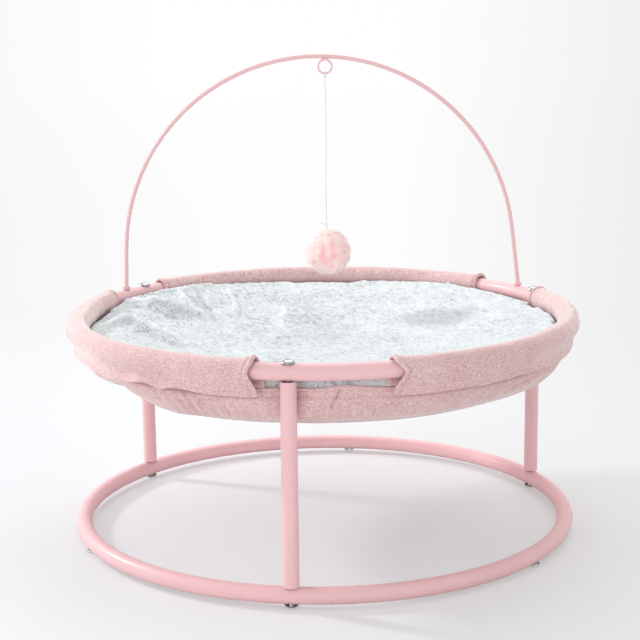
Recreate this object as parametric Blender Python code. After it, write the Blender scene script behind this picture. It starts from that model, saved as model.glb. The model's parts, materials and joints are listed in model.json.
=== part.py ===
"""Raised round cat bed.

Two tube rings stand one above the other on three legs. A cloth sling with three
flaps hangs from the upper ring and holds a plush pad. A wire hoop over the bed
carries a pompom on a string.

Metres, +Z up. The origin is on the floor, on the axis of the rings. The front is
at -Y. An angle round the rings is counted from the front towards +X.
"""

import math

import bmesh
import bpy
from mathutils import Vector

# Rings, with their centre lines on the same radius
RING_RADIUS = 0.2230
RING_TUBE = 0.0144
RING_WALL = 0.0009
RING_SPACING = 0.1826
RING_SEGMENTS = 60
RING_SIDES = 12

# Legs and the threaded inserts in their ends
LEG_TUBE = 0.0132
LEG_WALL = 0.0010
FRONT_LEG_ANGLE = -7.0
LEG_NAMES = ("front", "right", "left")
INSERT_LENGTH = 0.0140

# Leg screws
SCREW_SHANK = 0.0060
SCREW_HEAD = 0.0115
SCREW_HEAD_HEIGHT = 0.0024
SCREW_ENGAGEMENT = 0.0100
RECESS_SPAN = 0.0050
RECESS_SLOT = 0.0012
RECESS_DEPTH = 0.0013

# Feet, midway between the legs
FOOT_CAP = 0.0100
FOOT_FLAT = 0.0060
FOOT_HEIGHT = 0.0027
FOOT_STEM = 0.0046
FOOT_STEM_LENGTH = 0.0060
FOOT_NAMES = ("front_right", "rear", "front_left")

# Toy hoop, its stop collars and the nuts under the ring
HOOP_ROD = 0.0041
HOOP_FOOT_ANGLE = 120.0
HOOP_HEIGHT = 0.2248
HOOP_LEAN_LEFT = 1.8
HOOP_LEAN_RIGHT = 6.5
HOOP_COLLAR = 0.0080
HOOP_COLLAR_HEIGHT = 0.0022
HOOP_THREAD_LENGTH = 0.0062
NUT_ACROSS_FLATS = 0.0070
NUT_HEIGHT = 0.0032

# Welded eyelet under the hoop
EYELET_OUTER = 0.0150
EYELET_WIRE = 0.0019
EYELET_OFFSET = 0.0050
WELD_LENGTH = 0.0090
WELD_FOOT_LENGTH = 0.0060
WELD_DROP = 0.0024
WELD_WIDTH = 0.0030

# String, knots and pompom
STRING_DIAMETER = 0.0010
STRING_LENGTH = 0.1420
STRING_POINTS = 49
LOOP_BAND = 0.0022
KNOT_DIAMETER = 0.0026
POMPOM_WIDTH = 0.0450
POMPOM_HEIGHT = 0.0460
POMPOM_TUFT = 0.0011

# Cloth sling, below the centre line of the upper ring
CLOTH = 0.0022
SLING_RIM_DROP = 0.0120
SLING_DEPTH = 0.0585
LEG_DENT_WIDTH = 4.0

# Flaps over the ring and their fastening strips
FLAP_CLOTH = 0.0026
HEM_DROP = 0.0212
STRIP_THICKNESS = 0.0010
STRIP_HEIGHT = 0.0066
STRIP_HEM_MARGIN = 0.0010
STRIP_END_MARGIN = 6.0

# Both ends of each flap: the angle where the ring's outer side shows, then how much
# wider the flap is over the ring, at its root inside the ring and at its hem
FLAP_ENDS = {
    "left": ((-113.3, 0.2, -2.4, 1.2), (-14.3, 1.2, 2.4, 1.3)),
    "right": ((16.0, 2.1, 3.0, 1.7), (110.6, 0.3, 0.3, 0.3)),
    "rear": ((134.4, 0.8, 1.2, 2.0), (226.8, 0.8, 1.2, 1.8)),
}

# Plush pad
PAD_RIM_INSET = 0.0108
PAD_RIM_DROP = 0.0026
PAD_SAG = 0.0310

# Where the plush edge rises or sinks along the rim: angle, rise, width in degrees
PAD_RIM_RISES = (
    (-137.0, 0.0050, 20.0),
    (180.0, -0.0030, 14.0),
    (140.0, 0.0024, 14.0),
    (-98.0, -0.0060, 11.0),
)

# Folds of the plush: height, half width and a line of (angle, share of the rim's radius)
PAD_FOLDS = (
    (0.0085, 0.0125, ((-134.0, 0.97), (-128.3, 0.86), (-123.4, 0.69), (-118.2, 0.58))),
    (0.0090, 0.0135, ((-113.0, 0.97), (-100.6, 0.77), (-86.8, 0.67), (-68.5, 0.62), (-45.6, 0.61))),
    (-0.0055, 0.0105, ((-124.5, 0.93), (-120.5, 0.80), (-115.0, 0.66), (-107.4, 0.52))),
    (0.0040, 0.0220, ((-163.0, 0.62), (-152.0, 0.40), (-137.0, 0.16))),
    (-0.0035, 0.0160, ((-134.0, 0.78), (-124.0, 0.52), (-110.0, 0.38))),
    (0.0030, 0.0240, ((96.0, 0.84), (128.0, 0.72))),
)

# Clearances
SEAT_GAP = 0.0003
HOLE_CLEARANCE = 0.0003

TUBE_RADIUS = RING_TUBE / 2
LOWER_RING_Z = SEAT_GAP + FOOT_HEIGHT + TUBE_RADIUS
UPPER_RING_Z = LOWER_RING_Z + RING_SPACING
UPPER_RING_TOP = UPPER_RING_Z + TUBE_RADIUS
LEG_PITCH = 360.0 / len(LEG_NAMES)
GRID_STEP = 360.0 / RING_SEGMENTS
GRID_ANGLES = [FRONT_LEG_ANGLE + GRID_STEP * k for k in range(RING_SEGMENTS)]


def clear_scene():
    """Remove whatever the file holds."""
    for item in list(bpy.data.objects):
        bpy.data.objects.remove(item, do_unlink=True)


def make_finish(name, colour, roughness, metallic=0.0):
    """One Principled BSDF material."""
    finish = bpy.data.materials.new(name)
    finish.use_nodes = True
    shader = finish.node_tree.nodes["Principled BSDF"]
    shader.inputs["Base Color"].default_value = (*colour, 1.0)
    shader.inputs["Roughness"].default_value = roughness
    shader.inputs["Metallic"].default_value = metallic
    return finish


def ring_point(angle, radius, height):
    """A point at an angle round the bed."""
    turn = math.radians(angle)
    return Vector((radius * math.sin(turn), -radius * math.cos(turn), height))


def add_object(name, shape, finish, location=(0, 0, 0), sharp_angle=35.0):
    """Turn a bmesh into a smooth shaded object."""
    mesh = bpy.data.meshes.new(name)
    shape.to_mesh(mesh)
    shape.free()
    mesh.shade_smooth()
    mesh.set_sharp_from_angle(angle=math.radians(sharp_angle))
    mesh.materials.append(finish)
    piece = bpy.data.objects.new(name, mesh)
    piece.location = location
    bpy.context.scene.collection.objects.link(piece)
    return piece


def add_pivot(name, location):
    """An empty on a joint axis."""
    pivot = bpy.data.objects.new(name, None)
    pivot.location = location
    bpy.context.scene.collection.objects.link(pivot)
    return pivot


def hang_from(piece, pivot):
    """Parent a piece to a pivot and leave it where it is."""
    piece.parent = pivot
    piece.location = Vector(piece.location) - Vector(pivot.location)


def cut_away(piece, cutter):
    """Take the cutter's shape out of a piece."""
    cutter.hide_render = True
    cutter.display_type = "WIRE"
    boolean = piece.modifiers.new("cut_" + cutter.name, "BOOLEAN")
    boolean.operation = "DIFFERENCE"
    boolean.solver = "EXACT"
    boolean.object = cutter


def join_shape(piece, tool):
    """Add the tool's shape to a piece."""
    tool.hide_render = True
    tool.display_type = "WIRE"
    boolean = piece.modifiers.new("join_" + tool.name, "BOOLEAN")
    boolean.operation = "UNION"
    boolean.solver = "EXACT"
    boolean.object = tool


def spin_round(shape, profile, steps, closed):
    """Spin a profile of (radius, height) pairs round Z."""
    verts = [shape.verts.new((radius, 0.0, height)) for radius, height in profile]
    pairs = list(zip(verts, verts[1:]))
    if closed:
        pairs.append((verts[-1], verts[0]))
    edges = [shape.edges.new(pair) for pair in pairs]
    bmesh.ops.spin(
        shape, geom=verts + edges, cent=(0, 0, 0), axis=(0, 0, 1), angle=math.tau, steps=steps
    )
    bmesh.ops.remove_doubles(shape, verts=shape.verts[:], dist=1e-6)


def turned_shape(profile, steps, closed=False):
    """A lathe-turned solid with its faces pointing out."""
    shape = bmesh.new()
    spin_round(shape, profile, steps, closed)
    bmesh.ops.recalc_face_normals(shape, faces=shape.faces[:])
    return shape


def circle_profile(centre_radius, radius, sides):
    """A circle of (radius, height) pairs, with a point at its top."""
    return [
        (
            centre_radius + radius * math.cos(math.tau * side / sides),
            radius * math.sin(math.tau * side / sides),
        )
        for side in range(sides)
    ]


def loft(sections, ring=False):
    """Join sections of equal count into one closed skin."""
    shape = bmesh.new()
    rows = [[shape.verts.new(point) for point in section] for section in sections]
    count = len(rows[0])
    follow = list(zip(rows, rows[1:]))
    if ring:
        follow.append((rows[-1], rows[0]))
    for here, there in follow:
        for index in range(count):
            after = (index + 1) % count
            shape.faces.new((here[index], here[after], there[after], there[index]))
    if not ring:
        shape.faces.new(rows[0])
        shape.faces.new(rows[-1])
    bmesh.ops.recalc_face_normals(shape, faces=shape.faces[:])
    return shape


def sweep(points, radii, sides, side_axis):
    """A round bar along points in a plane whose normal is side_axis."""
    sections = []
    for index, point in enumerate(points):
        before = points[max(index - 1, 0)]
        after = points[min(index + 1, len(points) - 1)]
        along = (after - before).normalized()
        across = side_axis.cross(along).normalized()
        sections.append(
            [
                point
                + across * (radii[index] * math.cos(math.tau * side / sides))
                + side_axis * (radii[index] * math.sin(math.tau * side / sides))
                for side in range(sides)
            ]
        )
    return loft(sections)


def leg_angle(index):
    """Angle of a leg, counted from the front one."""
    return FRONT_LEG_ANGLE + LEG_PITCH * index


def foot_angle(index):
    """Angle of a foot, midway between two legs."""
    return leg_angle(index) + LEG_PITCH / 2


def hoop_foot(side):
    """Where a foot of the hoop crosses the upper ring. Side is -1 or 1."""
    return ring_point(side * HOOP_FOOT_ANGLE, RING_RADIUS, UPPER_RING_Z)


def drill(name, holes, finish, sides=12):
    """A cutter of upright round holes, each a place, a radius, a bottom and a top."""
    shape = bmesh.new()
    for place, radius, bottom, top in holes:
        lower = []
        upper = []
        for side in range(sides):
            turn = math.tau * side / sides
            offset = Vector((radius * math.cos(turn), radius * math.sin(turn), 0.0))
            lower.append(shape.verts.new((place.x + offset.x, place.y + offset.y, bottom)))
            upper.append(shape.verts.new((place.x + offset.x, place.y + offset.y, top)))
        shape.faces.new(lower[::-1])
        shape.faces.new(upper)
        for side in range(sides):
            after = (side + 1) % sides
            shape.faces.new((lower[side], lower[after], upper[after], upper[side]))
    return add_object(name, shape, finish)


def build_ring(name, height, finish):
    """A welded ring of round tube. Its points line up with the front leg."""
    shape = bmesh.new()
    spin_round(shape, circle_profile(RING_RADIUS, TUBE_RADIUS, RING_SIDES), RING_SEGMENTS, True)
    bmesh.ops.recalc_face_normals(shape, faces=shape.faces[:])
    ring = add_object(name, shape, finish, (0, 0, height), 60.0)
    ring.rotation_euler.z = math.radians(FRONT_LEG_ANGLE - 90.0)
    bore = turned_shape(
        circle_profile(RING_RADIUS, TUBE_RADIUS - RING_WALL, RING_SIDES // 2), RING_SEGMENTS, True
    )
    cutter = add_object(name + "_bore", bore, finish, (0, 0, height))
    cutter.rotation_euler.z = ring.rotation_euler.z
    cut_away(ring, cutter)
    return ring


def build_rings(paint):
    """Both rings with the holes that their screws, feet and hoop pass through."""
    screw_hole = SCREW_SHANK / 2 + HOLE_CLEARANCE
    lower = build_ring("lower_ring", LOWER_RING_Z, paint)
    upper = build_ring("upper_ring", UPPER_RING_Z, paint)
    over = TUBE_RADIUS + SEAT_GAP
    lower_holes = []
    upper_holes = []
    for index in range(len(LEG_NAMES)):
        place = ring_point(leg_angle(index), RING_RADIUS, 0.0)
        lower_holes.append((place, screw_hole, LOWER_RING_Z - over, LOWER_RING_Z + over))
        upper_holes.append((place, screw_hole, UPPER_RING_Z - over, UPPER_RING_Z + over))
        place = ring_point(foot_angle(index), RING_RADIUS, 0.0)
        stem_hole = FOOT_STEM / 2 + HOLE_CLEARANCE
        lower_holes.append((place, stem_hole, LOWER_RING_Z - over, LOWER_RING_Z))
    for side in (-1, 1):
        rod_hole = HOOP_ROD / 2 + HOLE_CLEARANCE
        upper_holes.append((hoop_foot(side), rod_hole, UPPER_RING_Z - over, UPPER_RING_Z + over))
    cut_away(lower, drill("lower_ring_holes", lower_holes, paint))
    cut_away(upper, drill("upper_ring_holes", upper_holes, paint))


def build_leg(name, angle, paint, steel):
    """One leg tube, cut square, with a threaded insert in each end."""
    bottom = LOWER_RING_Z + TUBE_RADIUS + SEAT_GAP
    top = UPPER_RING_Z - TUBE_RADIUS - SEAT_GAP
    outer = LEG_TUBE / 2
    bore = outer - LEG_WALL
    place = ring_point(angle, RING_RADIUS, 0.0)
    wall = [(outer, bottom), (outer, top), (bore, top), (bore, bottom)]
    add_object("leg_" + name, turned_shape(wall, 16, True), paint, place)
    body = bore - HOLE_CLEARANCE
    thread = SCREW_SHANK / 2 + HOLE_CLEARANCE
    for end, start, turn in (("bottom", bottom, 1), ("top", top, -1)):
        finish_z = start + turn * INSERT_LENGTH
        lead_in = LEG_WALL / 2
        profile = [
            (body, start),
            (body, finish_z - turn * lead_in),
            (body - lead_in, finish_z),
            (thread, finish_z),
            (thread, start),
        ]
        add_object("insert_" + name + "_" + end, turned_shape(profile, 12, True), steel, place)


def screw_profile():
    """Dome head below zero and shank above it, as turned from the tip of the dome."""
    head = SCREW_HEAD / 2
    shank = SCREW_SHANK / 2
    length = RING_TUBE + 2 * SEAT_GAP + SCREW_ENGAGEMENT
    profile = []
    for step in range(4):
        turn = math.radians(90.0 * step / 4)
        profile.append((head * math.sin(turn), -SCREW_HEAD_HEIGHT * math.cos(turn)))
    profile += [(head, 0.0), (shank, 0.0), (shank, length - shank / 3)]
    profile += [(shank - shank / 3, length), (0.0, length)]
    return profile


def build_screw(name, place, upside_down, steel):
    """A dome-headed leg screw with a cross recess."""
    shape = turned_shape(screw_profile(), 14)
    screw = add_object(name, shape, steel, place)
    cross = bmesh.new()
    for span_x, span_y in ((RECESS_SPAN, RECESS_SLOT), (RECESS_SLOT, RECESS_SPAN)):
        block = bmesh.ops.create_cube(cross, size=1.0)["verts"]
        depth = 2 * RECESS_DEPTH
        for vert in block:
            taper = 1.0 if vert.co.z < 0 else 0.5
            vert.co.x *= span_x * taper
            vert.co.y *= span_y * taper
            vert.co.z = vert.co.z * depth - SCREW_HEAD_HEIGHT
    cutter_a = bmesh.new()
    cutter_b = bmesh.new()
    for target, blocks in ((cutter_a, cross.verts[:8]), (cutter_b, cross.verts[8:])):
        corners = [target.verts.new(vert.co) for vert in blocks]
        bmesh.ops.convex_hull(target, input=corners)
    cross.free()
    for label, cutter_shape in (("_slot_a", cutter_a), ("_slot_b", cutter_b)):
        cutter = add_object(name + label, cutter_shape, steel, place)
        cut_away(screw, cutter)
        if upside_down:
            cutter.rotation_euler.x = math.pi
    if upside_down:
        screw.rotation_euler.x = math.pi
    return screw


def build_screws(steel):
    """Two screws a leg: one up through the lower ring, one down through the upper ring."""
    for index, name in enumerate(LEG_NAMES):
        low = ring_point(leg_angle(index), RING_RADIUS, LOWER_RING_Z - TUBE_RADIUS - SEAT_GAP)
        high = ring_point(leg_angle(index), RING_RADIUS, UPPER_RING_TOP + SEAT_GAP)
        build_screw("screw_" + name + "_bottom", low, False, steel)
        build_screw("screw_" + name + "_top", high, True, steel)


def build_feet(clear_plastic):
    """Push-in feet under the lower ring, with a flat to stand on."""
    cap = FOOT_CAP / 2
    flat = FOOT_FLAT / 2
    stem = FOOT_STEM / 2
    tip = FOOT_HEIGHT + FOOT_STEM_LENGTH
    profile = [(0.0, 0.0), (flat, 0.0)]
    for step in range(1, 3):
        turn = math.radians(90.0 * step / 2)
        profile.append(
            (flat + (cap - flat) * math.sin(turn), 0.8 * FOOT_HEIGHT * (1.0 - math.cos(turn)))
        )
    profile += [(cap, FOOT_HEIGHT), (stem, FOOT_HEIGHT), (stem, tip - stem / 4)]
    profile += [(stem / 4, tip), (0.0, tip)]
    for index, name in enumerate(FOOT_NAMES):
        place = ring_point(foot_angle(index), RING_RADIUS, 0.0)
        add_object("foot_" + name, turned_shape(profile, 14), clear_plastic, place)


def hoop_arc():
    """Centre and radius of the arc that meets both legs of the hoop without a kink.

    The left leg leans in less than the right one, so the arc sits a little to the left.
    """
    foot_x = hoop_foot(1).x
    left = math.radians(HOOP_LEAN_LEFT)
    right = math.radians(HOOP_LEAN_RIGHT)
    spare_left = HOOP_HEIGHT - foot_x * math.cos(left)
    spare_right = HOOP_HEIGHT - foot_x * math.cos(right)
    rise = math.cos(left) * spare_right + math.cos(right) * spare_left
    rise /= math.cos(left) * (1 - math.sin(right)) + math.cos(right) * (1 - math.sin(left))
    sway = (rise * (1 - math.sin(right)) - spare_right) / math.cos(right)
    return sway, UPPER_RING_TOP + rise, HOOP_HEIGHT - rise


def hoop_height_at(x):
    """Height of the hoop's centre line near its top."""
    centre_x, centre_z, radius = hoop_arc()
    return centre_z + math.sqrt(radius**2 - (x - centre_x) ** 2)


def hoop_stations():
    """Centre line and radius of the hoop from its right foot to its left one."""
    foot_x = hoop_foot(1).x
    centre_x, centre_z, arc_radius = hoop_arc()
    first = math.radians(HOOP_LEAN_RIGHT)
    last = math.pi - math.radians(HOOP_LEAN_LEFT)
    rod = HOOP_ROD / 2
    collar = HOOP_COLLAR / 2
    seat = UPPER_RING_TOP + SEAT_GAP
    end = UPPER_RING_Z - TUBE_RADIUS - SEAT_GAP - HOOP_THREAD_LENGTH
    upright = [
        (foot_x, end, rod),
        (foot_x, seat, rod),
        (foot_x, seat, collar),
        (foot_x, seat + HOOP_COLLAR_HEIGHT, collar),
        (foot_x, seat + HOOP_COLLAR_HEIGHT, rod),
    ]
    arc = []
    arc_steps = 38
    for step in range(arc_steps + 1):
        turn = first + (last - first) * step / arc_steps
        across = arc_radius * math.cos(turn)
        arc.append((centre_x + across, centre_z + arc_radius * math.sin(turn), rod))
    mirrored = [(-x, z, radius) for x, z, radius in reversed(upright)]
    return upright + arc + mirrored


def build_hoop(paint, steel):
    """The toy hoop, a bent rod with a collar at each foot, and its two nuts."""
    hoop_y = hoop_foot(1).y
    sections = []
    sides = 8
    stations = hoop_stations()
    centre_x, centre_z, arc_radius = hoop_arc()
    for index, (x, z, radius) in enumerate(stations):
        on_arc = 5 <= index < len(stations) - 5
        if on_arc:
            outward = Vector((x - centre_x, 0.0, z - centre_z)) / arc_radius
        else:
            outward = Vector((math.copysign(1.0, x), 0.0, 0.0))
        section = []
        for side in range(sides):
            turn = math.tau * side / sides
            offset = outward * (radius * math.cos(turn))
            section.append(Vector((x, hoop_y + radius * math.sin(turn), z)) + offset)
        sections.append(section)
    add_object("toy_hoop", loft(sections), paint, (0, 0, 0), 40.0)
    under = UPPER_RING_Z - TUBE_RADIUS - SEAT_GAP
    bore = HOOP_ROD / 2 + HOLE_CLEARANCE
    corner = NUT_ACROSS_FLATS / 2 / math.cos(math.pi / 6)
    for side, name in ((-1, "left"), (1, "right")):
        place = hoop_foot(side)
        shape = bmesh.new()
        rows = []
        for radius, sides_here, height in (
            (corner, 6, under),
            (corner, 6, under - NUT_HEIGHT),
            (bore, 12, under - NUT_HEIGHT),
            (bore, 12, under),
        ):
            rows.append(
                [
                    shape.verts.new(
                        (
                            place.x + radius * math.cos(math.tau * k / sides_here),
                            place.y + radius * math.sin(math.tau * k / sides_here),
                            height,
                        )
                    )
                    for k in range(sides_here)
                ]
            )
        top, bottom, bore_bottom, bore_top = rows
        for k in range(6):
            after = (k + 1) % 6
            shape.faces.new((top[k], bottom[k], bottom[after], top[after]))
        for k in range(12):
            after = (k + 1) % 12
            shape.faces.new((bore_bottom[k], bore_top[k], bore_top[after], bore_bottom[after]))
        for outer, inner in ((top, bore_top), (bottom, bore_bottom)):
            for k in range(6):
                after = (k + 1) % 6
                first, middle, last = inner[2 * k], inner[2 * k + 1], inner[(2 * k + 2) % 12]
                shape.faces.new((outer[k], first, middle))
                shape.faces.new((outer[k], middle, outer[after]))
                shape.faces.new((outer[after], middle, last))
        bmesh.ops.recalc_face_normals(shape, faces=shape.faces[:])
        add_object("nut_" + name, shape, steel, (0, 0, 0), 20.0)


def eyelet_centre():
    """Centre of the eyelet, hung close under the hoop."""
    drop = HOOP_ROD / 2 + SEAT_GAP + EYELET_OUTER / 2
    return Vector((EYELET_OFFSET, hoop_foot(1).y, hoop_height_at(EYELET_OFFSET) - drop))


def build_eyelet(paint):
    """A wire eyelet with the weld that holds it under the hoop."""
    centre = eyelet_centre()
    wire_line = EYELET_OUTER / 2 - EYELET_WIRE / 2
    shape = turned_shape(circle_profile(wire_line, EYELET_WIRE / 2, 8), 24, True)
    eyelet = add_object("string_eyelet", shape, paint, centre)
    eyelet.rotation_euler.x = math.pi / 2
    hoop_z = centre.z + EYELET_OUTER / 2 + SEAT_GAP + HOOP_ROD / 2
    weld = bmesh.new()
    upper_z = hoop_z
    lower_z = hoop_z - HOOP_ROD / 2 - WELD_DROP
    corners = []
    for half, half_width, z in (
        (WELD_LENGTH / 2, WELD_WIDTH / 2, upper_z),
        (WELD_FOOT_LENGTH / 2, WELD_WIDTH / 3, lower_z),
    ):
        for sign_x, sign_y in ((-1, -1), (1, -1), (1, 1), (-1, 1)):
            point = (centre.x + sign_x * half, centre.y + sign_y * half_width, z)
            corners.append(weld.verts.new(point))
    bmesh.ops.convex_hull(weld, input=corners)
    join_shape(eyelet, add_object("eyelet_weld", weld, paint))
    rod = []
    for step in range(9):
        x = centre.x + WELD_LENGTH * (step / 8 - 0.5) * 1.6
        rod.append(Vector((x, centre.y, hoop_height_at(x))))
    clearance = HOOP_ROD / 2 + SEAT_GAP
    clear_rod = sweep(rod, [clearance] * len(rod), 20, Vector((0, 1, 0)))
    cut_away(eyelet, add_object("eyelet_rod_room", clear_rod, paint))


def loop_pivot_point():
    """Centre of the eyelet's wire at its lowest point, round which the loop turns."""
    centre = eyelet_centre()
    return centre - Vector((0, 0, EYELET_OUTER / 2 - EYELET_WIRE / 2))


def loop_line_radius():
    """Radius of the string's own line in its loop round the eyelet."""
    return EYELET_WIRE / 2 + SEAT_GAP + STRING_DIAMETER / 2


def upper_knot_point():
    """Centre of the knot under the loop."""
    drop = loop_line_radius() + STRING_DIAMETER / 2 + KNOT_DIAMETER / 3
    return loop_pivot_point() - Vector((0, 0, drop))


def build_loop(string_finish, pivot):
    """Two turns of string round the eyelet, drawn into a knot."""
    half_band = LOOP_BAND / 2
    thread = STRING_DIAMETER / 2
    line = loop_line_radius()
    profile = [
        (line - thread, -half_band),
        (line + thread * 0.8, -half_band),
        (line + thread, -half_band / 2),
        (line + thread * 0.7, 0.0),
        (line + thread, half_band / 2),
        (line + thread * 0.8, half_band),
        (line - thread, half_band),
    ]
    loop = add_object("string_loop", turned_shape(profile, 14, True), string_finish)
    loop.location = pivot.location
    loop.rotation_euler.y = math.pi / 2
    hang_from(loop, pivot)
    knot = bmesh.new()
    bmesh.ops.create_uvsphere(knot, u_segments=10, v_segments=7, radius=KNOT_DIAMETER / 2)
    join_shape(loop, add_object("loop_knot", knot, string_finish, upper_knot_point()))


def string_route():
    """Chosen points of the string: drop from its top and small drifts to the side."""
    chosen = (
        (0.000, 0.0, 0.0),
        (0.012, 0.0, 0.0),
        (0.030, 0.0003, 0.0001),
        (0.052, 0.0005, -0.0002),
        (0.075, 0.0002, -0.0003),
        (0.098, -0.0003, 0.0),
        (0.118, -0.0002, 0.0002),
        (0.132, 0.0, 0.0),
        (0.142, 0.0, 0.0),
    )
    top = upper_knot_point() - Vector((0, 0, KNOT_DIAMETER / 2 + SEAT_GAP))
    stretch = STRING_LENGTH / chosen[-1][0]
    return [top + Vector((x, y, -drop * stretch)) for drop, x, y in chosen]


def smooth_points(route, count):
    """Points at even steps on a smooth curve through the route."""
    padded = [route[0] * 2 - route[1], *route, route[-1] * 2 - route[-2]]
    points = []
    for step in range(count):
        along = (len(route) - 1) * step / (count - 1)
        start = min(int(along), len(route) - 2)
        t = along - start
        a, b, c, d = padded[start : start + 4]
        spread = (c - a) * t + (a * 2 - b * 5 + c * 4 - d) * t**2 + (b * 3 - a - c * 3 + d) * t**3
        points.append(b + spread * 0.5)
    return points


def build_string(string_finish, pivot):
    """The hanging string."""
    points = smooth_points(string_route(), STRING_POINTS)
    line = bpy.data.curves.new("toy_string", "CURVE")
    line.dimensions = "3D"
    line.bevel_depth = STRING_DIAMETER / 2
    line.bevel_resolution = 2
    line.use_fill_caps = True
    spline = line.splines.new("POLY")
    spline.points.add(len(points) - 1)
    for target, point in zip(spline.points, points):
        target.co = (*(point - pivot.location), 1.0)
    line.materials.append(string_finish)
    cord = bpy.data.objects.new("toy_string", line)
    cord.location = pivot.location
    bpy.context.scene.collection.objects.link(cord)
    hang_from(cord, pivot)


def pompom_knot_point():
    """Centre of the knot on top of the pompom."""
    return string_route()[-1] - Vector((0, 0, SEAT_GAP + KNOT_DIAMETER / 2))


def build_pompom(fluff, string_finish, pivot):
    """The pompom, and the knot with a loose tail that ties it on."""
    knot_centre = pompom_knot_point()
    ball = bmesh.new()
    bmesh.ops.create_uvsphere(ball, u_segments=22, v_segments=13, radius=1.0)
    for vert in ball.verts:
        around = math.atan2(vert.co.y, vert.co.x)
        tuft = math.sin(5 * around + 3 * vert.co.z) * math.cos(4 * vert.co.z - 2 * around)
        tuft *= 1.0 - vert.co.z**2
        swell = POMPOM_TUFT * tuft
        vert.co.x *= POMPOM_WIDTH / 2 + swell
        vert.co.y *= POMPOM_WIDTH / 2 + swell
        vert.co.z *= POMPOM_HEIGHT / 2
    drop = KNOT_DIAMETER / 2 + SEAT_GAP + POMPOM_HEIGHT / 2
    centre = knot_centre - Vector((0, 0, drop))
    hang_from(add_object("pompom", ball, fluff, centre, 80.0), pivot)
    knot = bmesh.new()
    bmesh.ops.create_uvsphere(knot, u_segments=10, v_segments=7, radius=KNOT_DIAMETER / 2)
    lower_knot = add_object("pompom_knot", knot, string_finish, knot_centre)
    hang_from(lower_knot, pivot)
    tail = []
    steps = 12
    for step in range(steps + 1):
        share = step / steps
        x = -0.0085 * math.sin(math.pi * share * 0.55) - 0.0006
        z = 0.0036 * math.sin(math.pi * share * 1.1) + 0.0004
        tail.append(knot_centre + Vector((x, 0.0, z)))
    thread = STRING_DIAMETER / 2
    tail_shape = sweep(tail, [thread] * len(tail), 8, Vector((0, 1, 0)))
    join_shape(lower_knot, add_object("knot_tail", tail_shape, string_finish))


def hump(angle, middle, width):
    """A smooth hump round an angle, one at its middle and nothing far from it."""
    off = (angle - middle + 180.0) % 360.0 - 180.0
    return math.exp(-((off / width) ** 2))


def wave(angle, count, shift):
    """A wave with a whole count of crests round the bed."""
    return math.sin(math.radians(count * angle) + shift)


def sling_outline():
    """Half section of the sling's outer face, as (inset from the ring, drop) pairs."""
    hang = SLING_DEPTH
    return [
        (0.0032, SLING_RIM_DROP),
        (0.0024, 0.28 * hang),
        (0.0022, 0.37 * hang),
        (0.0042, 0.48 * hang),
        (0.0100, 0.62 * hang),
        (0.0220, 0.77 * hang),
        (0.0450, 0.905 * hang),
        (0.0800, 0.97 * hang),
        (0.1400, 0.995 * hang),
    ]


def sling_point(row, angle):
    """A point on the sling's outer face, with its pleats below the hem."""
    inset, drop = sling_outline()[row]
    leg_room = LEG_TUBE / 2 + SEAT_GAP
    for index in range(len(LEG_NAMES)):
        dent = max(0.0, leg_room + 0.0010 - inset)
        inset += dent * hump(angle, leg_angle(index), LEG_DENT_WIDTH)
    if row >= 3:
        pleat = 0.6 * wave(angle, 17, 0.6) + 0.4 * wave(angle, 29, 2.1)
        fade = (0.0, 0.0, 0.0, 0.8, 1.0, 0.8, 0.5, 0.2, 0.1)[row]
        inset += 0.0011 * pleat * fade
        drop -= 0.0090 * hump(angle, -58.5, 10.0) * fade
        drop += 0.0022 * hump(angle, -40.0, 6.0) * fade
        drop += 0.0020 * hump(angle, 66.0, 14.0) * fade
        drop += 0.0006 * wave(angle, 5, 0.9) * fade
    return ring_point(angle, RING_RADIUS - inset, UPPER_RING_Z - drop)


def sling_grid(inward):
    """Rows of points on the sling, moved inward along its face, and the middle point."""
    count = len(sling_outline())
    grid = [[sling_point(row, angle) for angle in GRID_ANGLES] for row in range(count)]
    middle = Vector((0, 0, UPPER_RING_Z - SLING_DEPTH))
    moved = []
    for row in range(count):
        line = []
        for k in range(RING_SEGMENTS):
            here = grid[row][k]
            above = grid[max(row - 1, 0)][k]
            below = grid[row + 1][k] if row + 1 < count else middle
            left = grid[row][k - 1]
            right = grid[row][(k + 1) % RING_SEGMENTS]
            inside = (right - left).cross(above - below).normalized()
            if inside.dot(Vector((-here.x, -here.y, RING_RADIUS))) < 0:
                inside = -inside
            if row == 0:
                inside.z = 0.0
                inside.normalize()
            line.append(here + inside * inward)
        moved.append(line)
    return moved, middle + Vector((0, 0, inward))


def bowl_shape(outer, outer_middle, inner, inner_middle):
    """A closed bowl from two skins of rows, each row running round the bed."""
    shape = bmesh.new()
    skins = []
    for rows, middle in ((outer, outer_middle), (inner, inner_middle)):
        skins.append(([[shape.verts.new(p) for p in row] for row in rows], shape.verts.new(middle)))
    for verts, middle in skins:
        for here, there in zip(verts, verts[1:]):
            for k in range(len(here)):
                after = (k + 1) % len(here)
                shape.faces.new((here[k], here[after], there[after], there[k]))
        last = verts[-1]
        for k in range(len(last)):
            shape.faces.new((last[k], last[(k + 1) % len(last)], middle))
    rim_out = skins[0][0][0]
    rim_in = skins[1][0][0]
    for k in range(len(rim_out)):
        after = (k + 1) % len(rim_out)
        shape.faces.new((rim_out[k], rim_out[after], rim_in[after], rim_in[k]))
    bmesh.ops.recalc_face_normals(shape, faces=shape.faces[:])
    return shape


def build_sling(linen):
    """The linen sling under the pad."""
    outer, outer_middle = sling_grid(0.0)
    inner, inner_middle = sling_grid(CLOTH)
    add_object("sling", bowl_shape(outer, outer_middle, inner, inner_middle), linen, (0, 0, 0), 80.0)


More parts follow.
